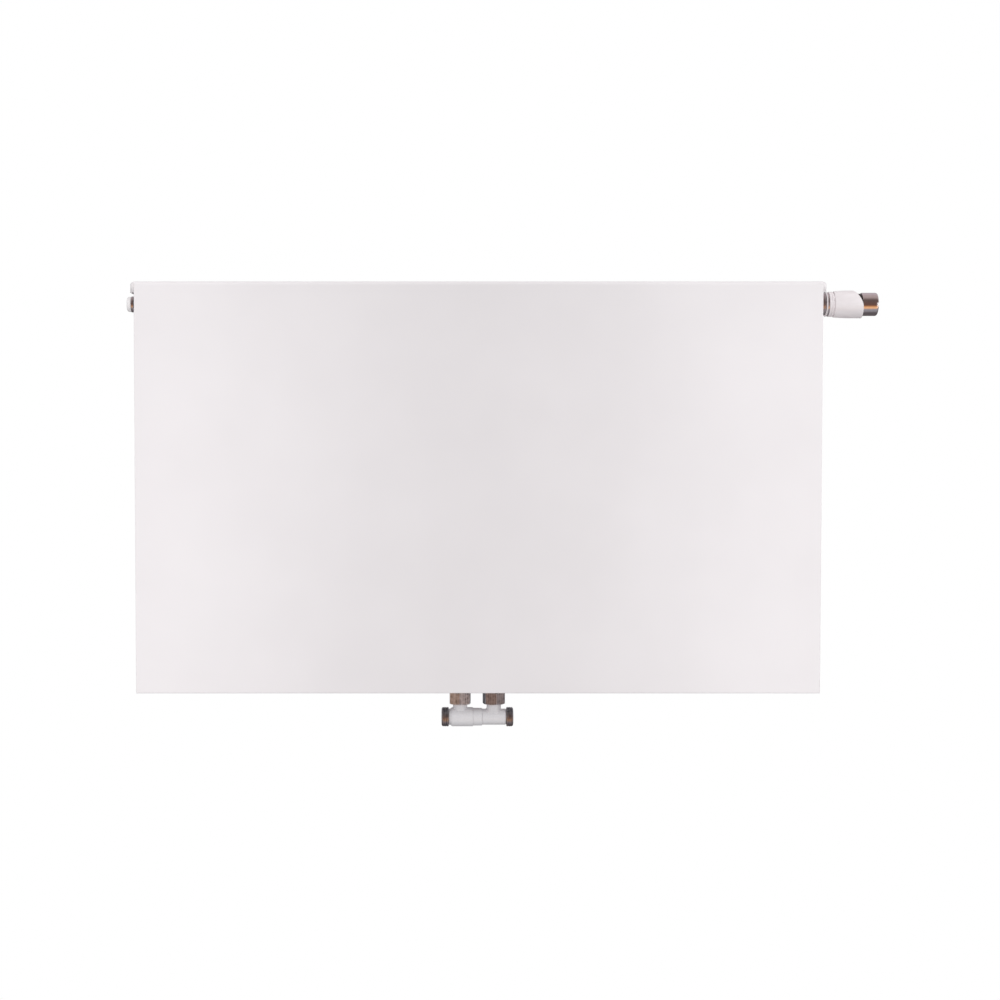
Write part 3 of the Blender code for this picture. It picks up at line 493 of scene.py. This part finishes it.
def front_sheet():
    """Rings from the fold's raw edge over the bend to the flat: at bend angle a a
    ring is inset by R (1 - cos a) and lies R (1 - sin a) behind the face, with
    R = 1.2 mm at the sides and below and 5 mm along the top."""
    low, high = corners("front_sheet")
    bends = np.array([1.2, 1.2, 5.0]) * MM  # sides, bottom, top
    wide, tall = 61, 41

    def ring(inset, depth):
        side, bottom, top = inset
        x0, x1 = low[0] + side, high[0] - side
        z0, z1 = low[2] + bottom, high[2] - top
        xs = x0 + (np.linspace(-1, 1, wide) + 1) / 2 * (x1 - x0)
        zs = z0 + np.linspace(0, 1, tall) * (z1 - z0)
        y_side, y_bottom, y_top = low[1] + depth
        below = np.stack([xs, np.full(wide, y_bottom), np.full(wide, z0)], 1)
        right = np.stack([np.full(tall, x1), np.full(tall, y_side), zs], 1)
        above = np.stack([xs[::-1], np.full(wide, y_top), np.full(wide, z1)], 1)
        left = np.stack([np.full(tall, x0), np.full(tall, y_side), zs[::-1]], 1)
        sides = [below, right, above, left]
        for a, b in zip(sides, sides[1:] + sides[:1]):
            b[0] = a[-1] = (a[-1] + b[0]) / 2
        return np.concatenate([line[:-1] for line in sides])

    zero = np.zeros(3)
    flat = bends + 0.6 * MM
    rings = [ring(zero, np.full(3, high[1] - low[1]))]
    rings += [ring(bends * (1 - math.cos(a)), bends * (1 - math.sin(a)))
              for a in np.linspace(0, math.pi / 2, 13)]
    rings += [ring(flat, zero), ring(flat + 12 * MM, zero)]
    outer = np.array(rings)
    inner = outer[-1]
    x = np.linspace(inner[:, 0].min(), inner[:, 0].max(), wide)
    z = np.linspace(inner[:, 2].min(), inner[:, 2].max(), tall)
    gx, gz = np.meshgrid(x, z, indexing="ij")
    face = np.stack([gx, np.full_like(gx, low[1]), gz], -1)
    mesh = shell_mesh("front_sheet", [(outer, False, True), (face, False, False)])
    turn_out(mesh)
    made = piece("painted_front_sheet", mesh, PAINT, ["front_sheet"], 25)
    solidify(made, 1.0 * MM, even=False)


def turn_out(mesh):
    """Recalculates an open sheet's faces so that they all agree, and turns them
    out: the sum of normal . (centre - middle of the mesh) must be above zero."""
    bm = bmesh.new()
    bm.from_mesh(mesh)
    bmesh.ops.recalc_face_normals(bm, faces=bm.faces)
    bm.to_mesh(mesh)
    bm.free()
    count = len(mesh.polygons)
    normals, centres = np.empty(count * 3), np.empty(count * 3)
    area = np.empty(count)
    mesh.polygons.foreach_get("normal", normals)
    mesh.polygons.foreach_get("center", centres)
    mesh.polygons.foreach_get("area", area)
    points = np.empty(len(mesh.vertices) * 3)
    mesh.vertices.foreach_get("co", points)
    points = points.reshape(-1, 3)
    middle = (points.min(axis=0) + points.max(axis=0)) / 2
    outward = (normals.reshape(-1, 3) * (centres.reshape(-1, 3) - middle)).sum(axis=1)
    if (outward * area).sum() < 0:
        mesh.flip_normals()


def round_rect(half_x, half_y, radius, count):
    """count points round a rectangle with round corners, at equal steps along
    its outline, starting at the middle of the right side, anticlockwise: each
    quarter is half a side, an arc (cos w, sin w) radius and half the next side."""
    arc = math.pi / 2 * radius
    a, b = half_x - radius, half_y - radius
    s = np.linspace(0, 4 * (a + b + arc), count, endpoint=False)
    parts = [b, arc, 2 * a, arc, 2 * b, arc, 2 * a, arc, b]
    x, y, at = np.zeros(count), np.zeros(count), 0.0
    for k, length in enumerate(parts):
        inside = (s >= at - 1e-12) & (s <= at + length + 1e-12)
        t = s[inside] - at
        c, d = radius * np.cos(t / radius), radius * np.sin(t / radius)
        x[inside], y[inside] = (
            (half_x, t), (a + c, b + d), (a - t, half_y), (-a - d, b + c),
            (-half_x, b - t), (-a - c, -b - d), (-a + t, -half_y), (a + d, -b - c),
            (half_x, -b + t))[k]
        at += length
    return np.stack([x, y], 1)


def top_grille():
    """A pressed cover: rings carry its edge down over a bend, of 4.6 mm at its two
    ends and 1.6 mm along its sides, and each slot is a ring surface from its cell's
    outline to a rounded opening whose rim turns down by R sin a, R (1 - cos a)."""
    low, high = corners("top_grille")
    centre, half = (low + high) / 2, (high - low) / 2
    pitch, rows, slots = 30 * MM, 19.5 * MM, 32  # rows lie that far off the middle
    ear, corner = 497.5 * MM, 6 * MM  # past the ear the edge goes all the way down
    end_bend, side_bend, count = 4.6 * MM, 1.6 * MM, 640
    edge = round_rect(half[0], half[1], corner, count)
    depth = np.where(np.abs(edge[:, 0]) > ear, half[2] * 2, 3.5 * MM)
    # 1 at the ends, 0 along the sides, and between them round the corners
    endness = np.clip((np.abs(edge[:, 0]) - half[0] + corner) / corner, 0, 1)
    bend = side_bend + (end_bend - side_bend) * endness
    depth = np.maximum(depth, bend + 0.3 * MM)
    rings = []
    for a in np.linspace(0, math.pi / 2, 11):
        x_in = end_bend * (1 - math.cos(a))
        y_in = side_bend * (1 - math.cos(a))
        shape = edge * [(half[0] - x_in) / half[0], (half[1] - y_in) / half[1]]
        rings.append(np.column_stack([shape, high[2] - bend * (1 - math.sin(a))]))
    skirt = np.column_stack([edge, high[2] - depth])
    outer_x, outer_y = pitch * slots / 2, 2 * rows  # what the cells fill
    cell = edge * [(half[0] - end_bend - 1 * MM) / half[0],
                   (half[1] - side_bend - 1 * MM) / half[1]]
    rings.append(np.column_stack([cell, np.full(count, high[2])]))
    inside = np.column_stack([np.clip(cell[:, 0], -outer_x, outer_x),
                              np.clip(cell[:, 1], -outer_y, outer_y)])
    rings.append(np.column_stack([inside, np.full(count, high[2])]))
    rim = np.array([skirt] + rings) + [centre[0], centre[1], 0]
    grids = [(rim, False, True)]
    steps = 56
    angle = np.arange(steps) * TAU / steps
    lip, opening = 1.0 * MM, np.array([5.5, 15.0, 2.0]) * MM
    scale = np.minimum(pitch / 2 / np.maximum(np.abs(np.cos(angle)), 1e-9),
                       rows / np.maximum(np.abs(np.sin(angle)), 1e-9))
    cell_line = np.stack([scale * np.cos(angle), scale * np.sin(angle)], 1)
    levels = [(cell_line, high[2])]
    levels += [(rect_by_angle(*(opening + lip * (1 - math.sin(a))), angle),
                high[2] - lip * (1 - math.cos(a))) for a in np.linspace(0, math.pi / 2, 6)]
    levels.append((rect_by_angle(*opening, angle), high[2] - 2.6 * MM))
    slot = np.array([np.column_stack([line, np.full(steps, z)]) for line, z in levels])
    for y in (centre[1] - rows, centre[1] + rows):
        for k in range(slots):
            x = centre[0] + pitch * (k - (slots - 1) / 2)
            grids.append((slot + [x, y, 0], False, True))
    mesh = shell_mesh("top_grille", grids)
    upward(mesh)
    made = piece("slotted_top_grille", mesh, PAINT, ["top_grille"], 40)
    solidify(made, 0.9 * MM)


def rect_by_angle(half_x, half_y, radius, angle):
    """Where the ray at each angle leaves a rectangle with round corners."""
    c, s = np.abs(np.cos(angle)), np.abs(np.sin(angle))
    far = np.minimum(half_x / np.maximum(c, 1e-9), half_y / np.maximum(s, 1e-9))
    x, y = far * c, far * s
    cx, cy = half_x - radius, half_y - radius
    corner = (x > cx) & (y > cy)
    b = c * cx + s * cy
    disc = np.maximum(b * b - (cx * cx + cy * cy - radius * radius), 0)
    far = np.where(corner, b + np.sqrt(disc), far)
    return np.stack([far * np.cos(angle), far * np.sin(angle)], 1)


def upward(mesh):
    """Agrees the faces of each joined-up part, and turns a part over if the sum
    of its faces' normal z times area is below zero."""
    bm = bmesh.new()
    bm.from_mesh(mesh)
    bmesh.ops.recalc_face_normals(bm, faces=bm.faces)
    seen = set()
    for start in bm.faces:
        if start.index in seen:
            continue
        island, stack = [], [start]
        seen.add(start.index)
        while stack:
            face = stack.pop()
            island.append(face)
            for edge in face.edges:
                for other in edge.link_faces:
                    if other.index not in seen:
                        seen.add(other.index)
                        stack.append(other)
        if sum(f.normal.z * f.calc_area() for f in island) < 0:
            bmesh.ops.reverse_faces(bm, faces=island)
    bm.to_mesh(mesh)
    bm.free()


def side_cover(node, side, hole):
    """A sheet folded at both ends with a U-shaped notch: two half sheets whose
    inner edge keeps sqrt(r^2 - (z - zc)^2) from the notch's centre line."""
    low, high = corners(node)
    notch_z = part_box("vent_body")[0][2] + 11.7 * MM  # the vent's radius above it
    mid_y = HEADER_Y
    t = np.linspace(0, math.pi / 2, 25)
    z = np.concatenate([np.linspace(low[2], notch_z - hole - 2 * MM, 24),
                        notch_z - hole * np.cos(t), [high[2]]])
    width = np.sqrt(np.maximum(hole ** 2 - np.minimum(z - notch_z, 0) ** 2, 0))
    face_x, flange_x = (high[0], low[0]) if side > 0 else (low[0], high[0])
    bend = 2.0 * MM
    arc = np.linspace(0, math.pi / 2, 7)
    run = np.linspace(0, 1, 9)[1:]
    grids = []
    for sign, edge_y in ((-1, low[1]), (1, high[1])):
        px = np.append(flange_x, face_x - side * bend * (1 - np.sin(arc)))
        py = np.append(edge_y, edge_y - sign * bend * (1 - np.cos(arc)))
        x = np.append(px, np.full(len(run), face_x))
        rows = []
        for level, gap in zip(z, width):
            inner = mid_y + sign * gap
            y = np.append(py, py[-1] + (inner - py[-1]) * run)
            rows.append(np.column_stack([x, y, np.full(len(x), level)]))
        grids.append((np.array(rows), False, False))
    mesh = shell_mesh(node, grids)
    turn_out(mesh)
    made = piece("folded_" + node, mesh, PAINT, [node], 30)
    solidify(made, 0.8 * MM)


def pressed_shell(node, face):
    """A half shell: y = seam + face * (rim + (crest - rim) s), where s is
    smoothstep of the distance past the rim and of the distance from each land's
    centre line past its flat, and each spot weld sinks by d exp(-(r / 2.6 mm)^2)."""
    low, high = corners(node)
    seam, crest = (low[1], high[1]) if face > 0 else (high[1], low[1])
    rim = 1.2 * MM
    pitch, most, weld_pitch, middle = 40 * MM, 11, 42 * MM, 0.3
    # columns close together over each land, and rows over each line of welds
    half = np.array([2, 4, 5.5, 7.5, 9.5, 12, 16]) * MM
    across = np.concatenate([-half[::-1], [0], half])
    x = (np.arange(-most, most + 1)[:, None] * pitch + across).ravel()
    side = np.linspace(0, 38 * MM, 16)
    x = np.concatenate([low[0] + side, x, high[0] - side[::-1]])
    ends = np.linspace(0, 58 * MM, 30)
    weld_rows = (middle + np.arange(-5, 6)[:, None] * weld_pitch
                 + np.array([-8, -2.6, 0, 2.6, 8]) * MM).ravel()
    z = np.concatenate([low[2] + ends, weld_rows, high[2] - ends[::-1]])
    gx, gz = np.meshgrid(x, z, indexing="ij")

    def step(t):
        t = np.clip(t, 0, 1)
        return t * t * (3 - 2 * t)

    border = np.minimum(
        (np.minimum(gx - low[0], high[0] - gx) - 10 * MM) / (5 * MM),
        (np.minimum(gz - low[2], high[2] - gz) - 7 * MM) / (4 * MM))
    near = gx - np.round(gx / pitch) * pitch
    inside = np.abs(np.round(gx / pitch)) <= most
    past = np.maximum(np.maximum(low[2] + 46.5 * MM - gz, gz - high[2] + 46.5 * MM), 0)
    away = np.hypot(near, past)
    land = np.where(inside, (away - 4.5 * MM) / (5.0 * MM), 1.0)
    height = rim + (abs(crest - seam) - rim) * step(border) * step(land)
    weld_z = np.round((gz - middle) / weld_pitch) * weld_pitch + middle
    weld = np.exp(-(near ** 2 + (gz - weld_z) ** 2) / (2.6 * MM) ** 2)
    height -= 0.55 * MM * weld * inside * (past == 0)
    points = np.stack([gx, seam + face * height, gz], -1)
    mesh = shell_mesh(node, [(points, False, False)])
    turn_out(mesh)
    made = piece("pressed_" + node, mesh, PAINT, [node], 40)
    solidify(made, 1.1 * MM)


def hanging_lug(node):
    """A strap: an eased polyline in plan carried straight up, with its welded
    feet resting on the channels."""
    low, high = corners(node)
    x = (low[0] + high[0]) / 2
    foot, front = low[1], high[1]
    line = eased([
        (low[0], foot, 0), (x - 12 * MM, foot, 2.2 * MM), (x - 10 * MM, front, 2.2 * MM),
        (x + 10 * MM, front, 2.2 * MM), (x + 12 * MM, foot, 2.2 * MM), (high[0], foot, 0),
    ], 7)
    z = np.array([low[2], low[2] + 0.5 * MM, high[2] - 0.5 * MM, high[2]])
    outer = np.stack([np.column_stack([line, np.full(len(line), level)]) for level in z])
    inner = outer.copy()
    step = np.gradient(line, axis=0)
    normal = np.stack([step[:, 1], -step[:, 0]], 1)
    normal /= np.linalg.norm(normal, axis=1)[:, None]
    wall = 1.8 * MM
    toward = -1 if normal[0][1] > 0 else 1
    inner[..., :2] = line + toward * normal * wall
    loop = np.concatenate([outer, inner[:, ::-1]], axis=1)
    half = len(line)
    caps = [(np.stack([loop[k, :half], loop[k, half:][::-1]]), False, False)
            for k in (0, -1)]
    mesh = shell_mesh(node, [(loop, False, True)] + caps)
    turn_out(mesh)
    piece("folded_" + node, mesh, PAINT, [node], 35)


front_sheet()
top_grille()
side_cover("side_cover_left", -1, 13.5 * MM)
side_cover("side_cover_right", 1, 14.5 * MM)
pressed_shell("rear_shell_outer", 1)
for high_or_low in ("bottom", "top"):
    for hand in ("left", "right"):
        hanging_lug(f"lug_{high_or_low}_{hand}")


# ------------------------------------------------------ turned and moulded
def carve(name, base, joined=(), removed=()):
    """The base mesh with others joined on and cut away by exact Booleans."""
    temporary = []

    def shown(mesh):
        made = bpy.data.objects.new("blank", mesh)
        bpy.context.scene.collection.objects.link(made)
        temporary.append(made)
        return made

    made = shown(base)
    for kind, meshes in (("UNION", joined), ("DIFFERENCE", removed)):
        for mesh in meshes:
            step = made.modifiers.new(kind, "BOOLEAN")
            step.operation, step.solver, step.object = kind, "EXACT", shown(mesh)
    bpy.context.view_layer.update()
    graph = bpy.context.evaluated_depsgraph_get()
    result = bpy.data.meshes.new_from_object(made.evaluated_get(graph))
    result.name = name
    for made in temporary:
        bpy.data.objects.remove(made)
    return result


def sleeve_end(s, r, v):
    """The free end of the sleeve: straight below the axis, then swept back by
    12 mm ((z + 8 mm) / 28 mm)^2; the wall past 20 mm is sheared to suit."""
    start, free, reach = 20 * MM, 42.6 * MM, 41.3 * MM
    rise = np.maximum(r * np.sin(v) + 8 * MM, 0) / (28 * MM)
    cut = reach - 12.0 * MM * rise ** 2
    return np.where(s > start, start + (s - start) * (cut - start) / (free - start), s)


def thermostatic_head():
    """From the header out: insert, union ring, base, sprung ring with its gap,
    sleeve, core and end cap, with the sensor's can inside."""
    turned("turned_union_ring", ["head_nut"], "+X", [
        (0, 14.5, 0), (0, 15.3, 0.25), (0.4, 15.6, 0.3), (6.4, 15.7, 0.5),
        (7.4, 16.0, 0.4), (8.4, 16.0, 0.35), (8.4, 13.1, 0.2), (6.6, 13.1, 0.2),
        (6.6, 14.5, 0.2), (0.02, 14.5, 0)], TURNED_NICKEL, 120)
    turned("moulded_head_base", ["head_base"], "+X", [
        (0, 3.3, 0), (0, 14.1, 0.2), (1.3, 14.1, 0.1), (1.3, 12.8, 0.1),
        (3.7, 12.8, 0.1), (3.7, 18.1, 0.35), (5.3, 18.1, 0.35), (5.3, 15.5, 0.1),
        (8.2, 15.5, 0.1), (8.2, 18.3, 0.35), (11.5, 18.4, 0.2), (11.9, 17.5, 0.1),
        (12.3, 18.4, 0.2), (14.2, 18.5, 0.4), (14.6, 16.8, 0.1), (31.4, 16.8, 0.3),
        (31.4, 13.0, 0.3), (5.9, 13.0, 0.2), (5.9, 3.3, 0.1), (0.02, 3.3, 0)],
        SLEEVE_ABS, 120)
    centre, _ = span("head_ring", "+X")
    bead = [(0, 16.0, 0), (0, 17.5, 0.8), (2.3, 17.5, 0.8), (2.3, 15.8, 0.3),
            (0.02, 15.8, 0.0)]
    gap = shell_mesh("blank", [block_between(
        centre + np.array([-2 * MM, 10 * MM, -1.2 * MM]),
        centre + np.array([6 * MM, 22 * MM, 1.2 * MM]))])
    ring = carve("sprung_chrome_ring", blank(bead, centre, "+X", 121), removed=[gap])
    piece("sprung_chrome_ring", ring, CHROME, ["head_ring"], 40)
    turned("moulded_sleeve", ["head_sleeve"], "+X", [
        (0, 17.1, 0), (0, 19.1, 0.5), (3.0, 19.4, 2.0), (6.4, 19.7, 3.0),
        (17.4, 20.2, 5.0), (30.0, 20.3, 1.0), (42.6, 20.3, 0.6), (42.6, 18.4, 0.6),
        (30.0, 18.4, 1.0), (19.0, 18.4, 1.0), (2.6, 18.4, 0.3), (2.6, 17.1, 0.2),
        (0.02, 17.1, 0)], SLEEVE_ABS, 160, 40, reach=sleeve_end)
    # The core is black plastic, and its black is also painted shade for the dark gap
    # behind the sleeve's cut.
    turned("knob_core_black_as_painted_shade", ["head_core"], "+X", [
        (0, 12.6, 0), (0, 15.7, 0.4), (12, 15.7, 0), (24, 15.7, 0), (43.8, 15.7, 0.5),
        (43.8, 0, 0), (41.8, 0, 0), (41.8, 12.6, 0.5), (0.02, 12.6, 0)], BLACK_ABS_AND_PAINTED_SHADE, 96)
    turned("chromed_end_cap", ["head_knob"], "+X", [
        (0, 16.0, 0), (0, 16.6, 0.2), (0.5, 17.0, 0.3), (10, 17.0, 0), (21.0, 17.0, 0.9),
        (22.7, 16.4, 0.9), (23.4, 14.6, 0.9), (23.6, 8, 0), (23.7, 0, 0), (21.6, 0, 0),
        (21.6, 16.0, 0.5), (0.02, 16.0, 0)], CHROME, 160)
    turned("drawn_sensor_can", ["sensor_capsule"], "+X", [
        (0, 0, 0), (0, 11.6, 0.8), (28, 11.6, 1.4), (28, 0, 0)], ALUMINIUM, 96)
    turned("valve_insert_body", ["valve_insert"], "+X", [
        (0, 1.8, 0), (0, 9.7, 0.3), (20.8, 9.7, 0.1), (20.8, 13.2, 0.2), (25.0, 13.2, 0.1),
        (25.0, 14.2, 0.3), (29.8, 14.2, 0.3), (30.3, 13.8, 0.2), (30.3, 5.6, 0.3),
        (4.2, 5.6, 0.1), (4.2, 1.8, 0.1), (0.02, 1.8, 0)], TURNED_NICKEL, 96)


def block_between(low, high):
    """A closed box as a grid: two rims and two collapsed rings at the middles of
    its ends, so that shell_mesh can close it."""
    low, high = np.array(low), np.array(high)
    mid = (low + high) / 2
    square = np.array([[0, 0], [1, 0], [1, 1], [0, 1]])
    rows = []
    for x, size in ((low[0], 0), (low[0], 1), (high[0], 1), (high[0], 0)):
        yz = mid[1:] + (low[1:] + square * (high[1:] - low[1:]) - mid[1:]) * size
        rows.append(np.column_stack([np.full(4, x), yz]))
    return np.array(rows), False, True


def air_vent():
    """The vent's body with its gasket, and the disc with its outlet below."""
    turned("turned_vent_body", ["vent_body"], "-X", [
        (0, 1.5, 0), (0, 9.8, 0.3), (16.3, 9.8, 0.1), (16.3, 11.7, 0.4),
        (20.1, 11.7, 0.4), (20.1, 5.0, 0.2), (26.2, 5.0, 0.3), (26.2, 3.3, 0.2),
        (9.0, 3.3, 0.1), (7.5, 1.5, 0.1), (0.02, 1.5, 0)], TURNED_NICKEL, 96)
    turned("vent_gasket", ["vent_seal"], "-X", [
        (0, 10.1, 0), (0, 12.1, 0.4), (1.2, 12.1, 0.4), (1.2, 10.1, 0.2),
        (0.02, 10.1, 0)], RUBBER, 72)
    centre, _ = span("vent_spout", "-X")
    disc = blank([(0, 5.3, 0), (0, 11.0, 0.3), (4.2, 11.0, 1.2), (6.3, 8.9, 1.6),
                  (6.3, 5.3, 0.4), (0.02, 5.3, 0)], centre, "-X", 121)
    outlet = blank([(4.5, 0, 0), (4.5, 1.2, 0), (14, 1.2, 0), (14, 0, 0)],
                   centre + np.array([-2.9 * MM, 0, 0]), "-Z", 31)
    piece("moulded_vent_disc", carve("moulded_vent_disc", disc, removed=[outlet]),
          CAP_ABS, ["vent_spout"], 35)


def hexagon(flats, turn, rounded):
    """How far a hexagon reaches at angle v: (flats / 2) / cos of the angle from the
    nearest flat's middle, kept under its corner less what is rounded off."""
    def limit(v):
        off = (v - turn + math.pi / 6) % (math.pi / 3) - math.pi / 6
        return np.minimum(flats / 2 / np.cos(off), flats / math.sqrt(3) - rounded)
    return limit


def union_nut(node, turn):
    """A hexagon nut whose two ends are cones: there the radius grows from 14.6 mm
    by 3.1 mm over 1.4 mm, and the hexagon cuts it off."""
    slope = np.linspace(0, 1, 13)
    low = [(1.4 * t, 14.6 + 3.1 * t, 0) for t in slope]
    high = [(18.0 - 1.4 * t, 14.6 + 3.1 * t, 0) for t in slope[::-1]]
    rows = [(0, 10.3, 0)] + low + high + [
        (18.0, 13.5, 0.3), (2.4, 13.5, 0.1), (2.4, 10.3, 0.3), (0.02, 10.3, 0)]
    # a corner points at the front, turned by what the fitter left
    front = math.radians(turn) - math.pi / 2
    turned("drawn_" + node, [node], "+Z", rows, DRAWN_NICKEL, 240, 24, start=front,
           corner=hexagon(30.0 * MM, front + math.pi / 6, 0.22 * MM))


def stem_cap(node, axis):
    """A screw cap with two V grooves round it, a third of its length apart."""
    long = span(node, axis)[1] / MM
    step = long / 3
    rows = [(0, 11.2, 0), (0, 13.5, 0.3), (0.8, 14.3, 0.3)]
    for k in (1, 2):
        rows += [(k * step - 0.55, 14.3, 0.12), (k * step, 13.6, 0.2),
                 (k * step + 0.55, 14.3, 0.12)]
    rows += [(long - 2.2, 14.3, 0.6), (long - 0.7, 13.5, 0.5), (long, 11.9, 0.8),
             (long, 0, 0), (long - 2.0, 0, 0), (long - 2.0, 11.2, 0.3), (0.02, 11.2, 0)]
    turned("turned_" + node, [node], axis, rows, CAP_NICKEL, 120)


def block_body(node, side, radius, inner, outer, shoulder):
    """Pressed body with its neck and rear port, bored through for the water."""
    at = np.array([0.0, HEADER_Y, -41.5 * MM])
    out = "+X" if side > 0 else "-X"
    body = blank([(inner, 0, 0), (inner, radius, 0.22)] + [
        (outer - back, radius - less, ease) for back, less, ease in shoulder
    ] + [(outer, 0, 0)], at, out, 121)
    port = at + np.array([side * 25.0 * MM, 0, 0])
    neck = blank([(0, 0, 0), (0, 10.6, 0), (21.9, 10.6, 0.2), (22.0, 12.6, 0.35),
                  (24.7, 12.6, 0.35), (24.7, 0, 0)], port, "+Z", 97)
    rear = blank([(0, 0, 0), (0, 11.6, 0), (17.6, 11.8, 0.5), (18.6, 13.2, 0.4),
                  (33.2, 13.2, 0.4), (34.0, 12.5, 0.3), (34.0, 0, 0)], port, "+Y", 97)
    bores = [
        blank([(13.5, 0, 0), (13.5, 9.4, 0), (outer + 10, 9.4, 0), (outer + 10, 0, 0)],
              at, out, 61),
        blank([(1, 0, 0), (1, 7, 0), (40, 7, 0), (40, 0, 0)], port, "+Z", 47),
        blank([(1.3, 0, 0), (1.3, 8, 0), (33.0, 8, 0), (34.6, 9.2, 0), (50, 9.2, 0),
               (50, 0, 0)], port, "+Y", 53),
        blank([(inner - 10, 0, 0), (inner - 10, 6.3, 0), (inner + 3.8, 6.3, 0),
               (inner + 3.8, 0, 0)], at, out, 43),
    ]
    mesh = carve(node, body, [neck, rear], bores)
    piece("lacquered_" + node, mesh, LACQUER, [node], 30)


def shut_off_block():
    """Two bodies and their link, hung by two nuts on two nipples."""
    # shoulders as (mm back from the end, mm less radius, mm ease)
    block_body("block_left", -1, 14.2, 6.1, 41.7,
               [(5.2, 0, 1.2), (3.6, 0.7, 1.0), (2.4, 2.2, 0.5), (0, 2.2, 0.4)])
    block_body("block_right", 1, 11.9, 7.6, 43.3,
               [(1.6, 0, 0.8), (0.5, 0.5, 0.4), (0, 1.1, 0.2)])
    turned("lacquered_link", ["block_link"], "+X", [
        (0, 0, 0), (0, 6.0, 0.3), (3.35, 6.0, 0.1), (3.35, 13.2, 0.2),
        (16.75, 13.0, 0.2), (16.75, 6.0, 0.1), (20.1, 6.0, 0.3), (20.1, 0, 0)],
        LACQUER, 121)
    union_nut("union_nut_left", -5.6)
    union_nut("union_nut_right", 12.3)
    stem_cap("stem_cap_left", "-X")
    stem_cap("stem_cap_right", "+X")
    for node in ("return_nipple", "flow_nipple"):
        turned("turned_" + node, [node], "+Z", [
            (0, 8.0, 0), (0, 12.5, 0.3), (0.7, 13.2, 0.3), (26.2, 13.2, 0.2),
            (26.2, 8.0, 0.1), (0.02, 8.0, 0)], BRASS_UP, 96)


def supply_pipe():
    """A tube P(u, v) = C(u) + r (cos v n + sin v b) along its bent centre line,
    closed at both ends by its own wall."""
    low, high = corners("supply_pipe")
    r, bore = 9.0 * MM, 7.6 * MM
    y = (low[1] + high[1]) / 2
    turn = 30 * MM
    x1, z0 = high[0] - r, low[2] + r
    a = np.linspace(-math.pi / 2, 0, 13)
    round_it = 40
    path = np.concatenate([
        np.stack([np.linspace(low[0], x1 - turn, 9)[:-1], np.full(8, z0)], 1),
        np.stack([x1 - turn + turn * np.cos(a), z0 + turn + turn * np.sin(a)], 1),
        np.stack([np.full(8, x1), np.linspace(z0 + turn, high[2], 9)[1:]], 1)])
    along = np.gradient(path, axis=0)
    along /= np.linalg.norm(along, axis=1)[:, None]
    across = np.stack([-along[:, 1], along[:, 0]], 1)
    v = np.arange(round_it) * TAU / round_it
    walls = []
    for radius in (r, bore):
        points = np.zeros((len(path), round_it, 3))
        points[..., 0] = path[:, 0, None] + radius * np.cos(v) * across[:, 0, None]
        points[..., 2] = path[:, 1, None] + radius * np.cos(v) * across[:, 1, None]
        points[..., 1] = y + radius * np.sin(v)
        walls.append(points)
    tube = np.concatenate([walls[0], walls[1][::-1]])
    mesh = shell_mesh("supply_pipe", [(tube, True, True)])
    piece("painted_supply_pipe", mesh, PAINT, ["supply_pipe"], 40)


thermostatic_head()
air_vent()
shut_off_block()
supply_pipe()


def studio_floor():
    """A pale disc r (cos v, sin v) below the radiator, seen but casting nothing
    back on to it."""
    rings, v = np.array([0.0, 0.7, 1.4, 1.9, 2.05]), np.arange(96) * TAU / 96
    out = rings[:, None]
    points = np.stack([out * np.cos(v), out * np.sin(v) - 0.5, 0 * v - 1.05 + 0 * out], -1)
    mesh = shell_mesh("studio_floor", [(points, False, True)])
    upward(mesh)
    paper, tree, bsdf, where = finish("pale_studio_paper")
    fibre = grain(tree, where, 4 * MM, detail=2.0)
    tone(tree, bsdf, fibre, "#eeedec", "#f2f1f0")
    rough_and_bump(tree, bsdf, between(tree, fibre, 0.80, 0.90), [(fibre, 0.05 * MM)])
    mesh.materials.append(paper)
    made = bpy.data.objects.new("studio_floor", mesh)
    bpy.context.scene.collection.objects.link(made)
    made.visible_glossy = made.visible_diffuse = False


studio_floor()

# ----------------------------------------------------------------- the rest
FINISHES = {
    "radiator_white": PAINT, "block_white": LACQUER, "white_plastic": SLEEVE_ABS,
    "chrome": CHROME, "nickel": TURNED_NICKEL, "brass": BRASS, "black_rubber": RUBBER,
    "spring_steel": WIRE, "aluminium": ALUMINIUM, "black_plastic": BLACK_ABS_AND_PAINTED_SHADE,
}
for node, made in frame["nodes"].items():
    for slot in made.material_slots:
        slot.material = FINISHES[SLOT_OF[node]]
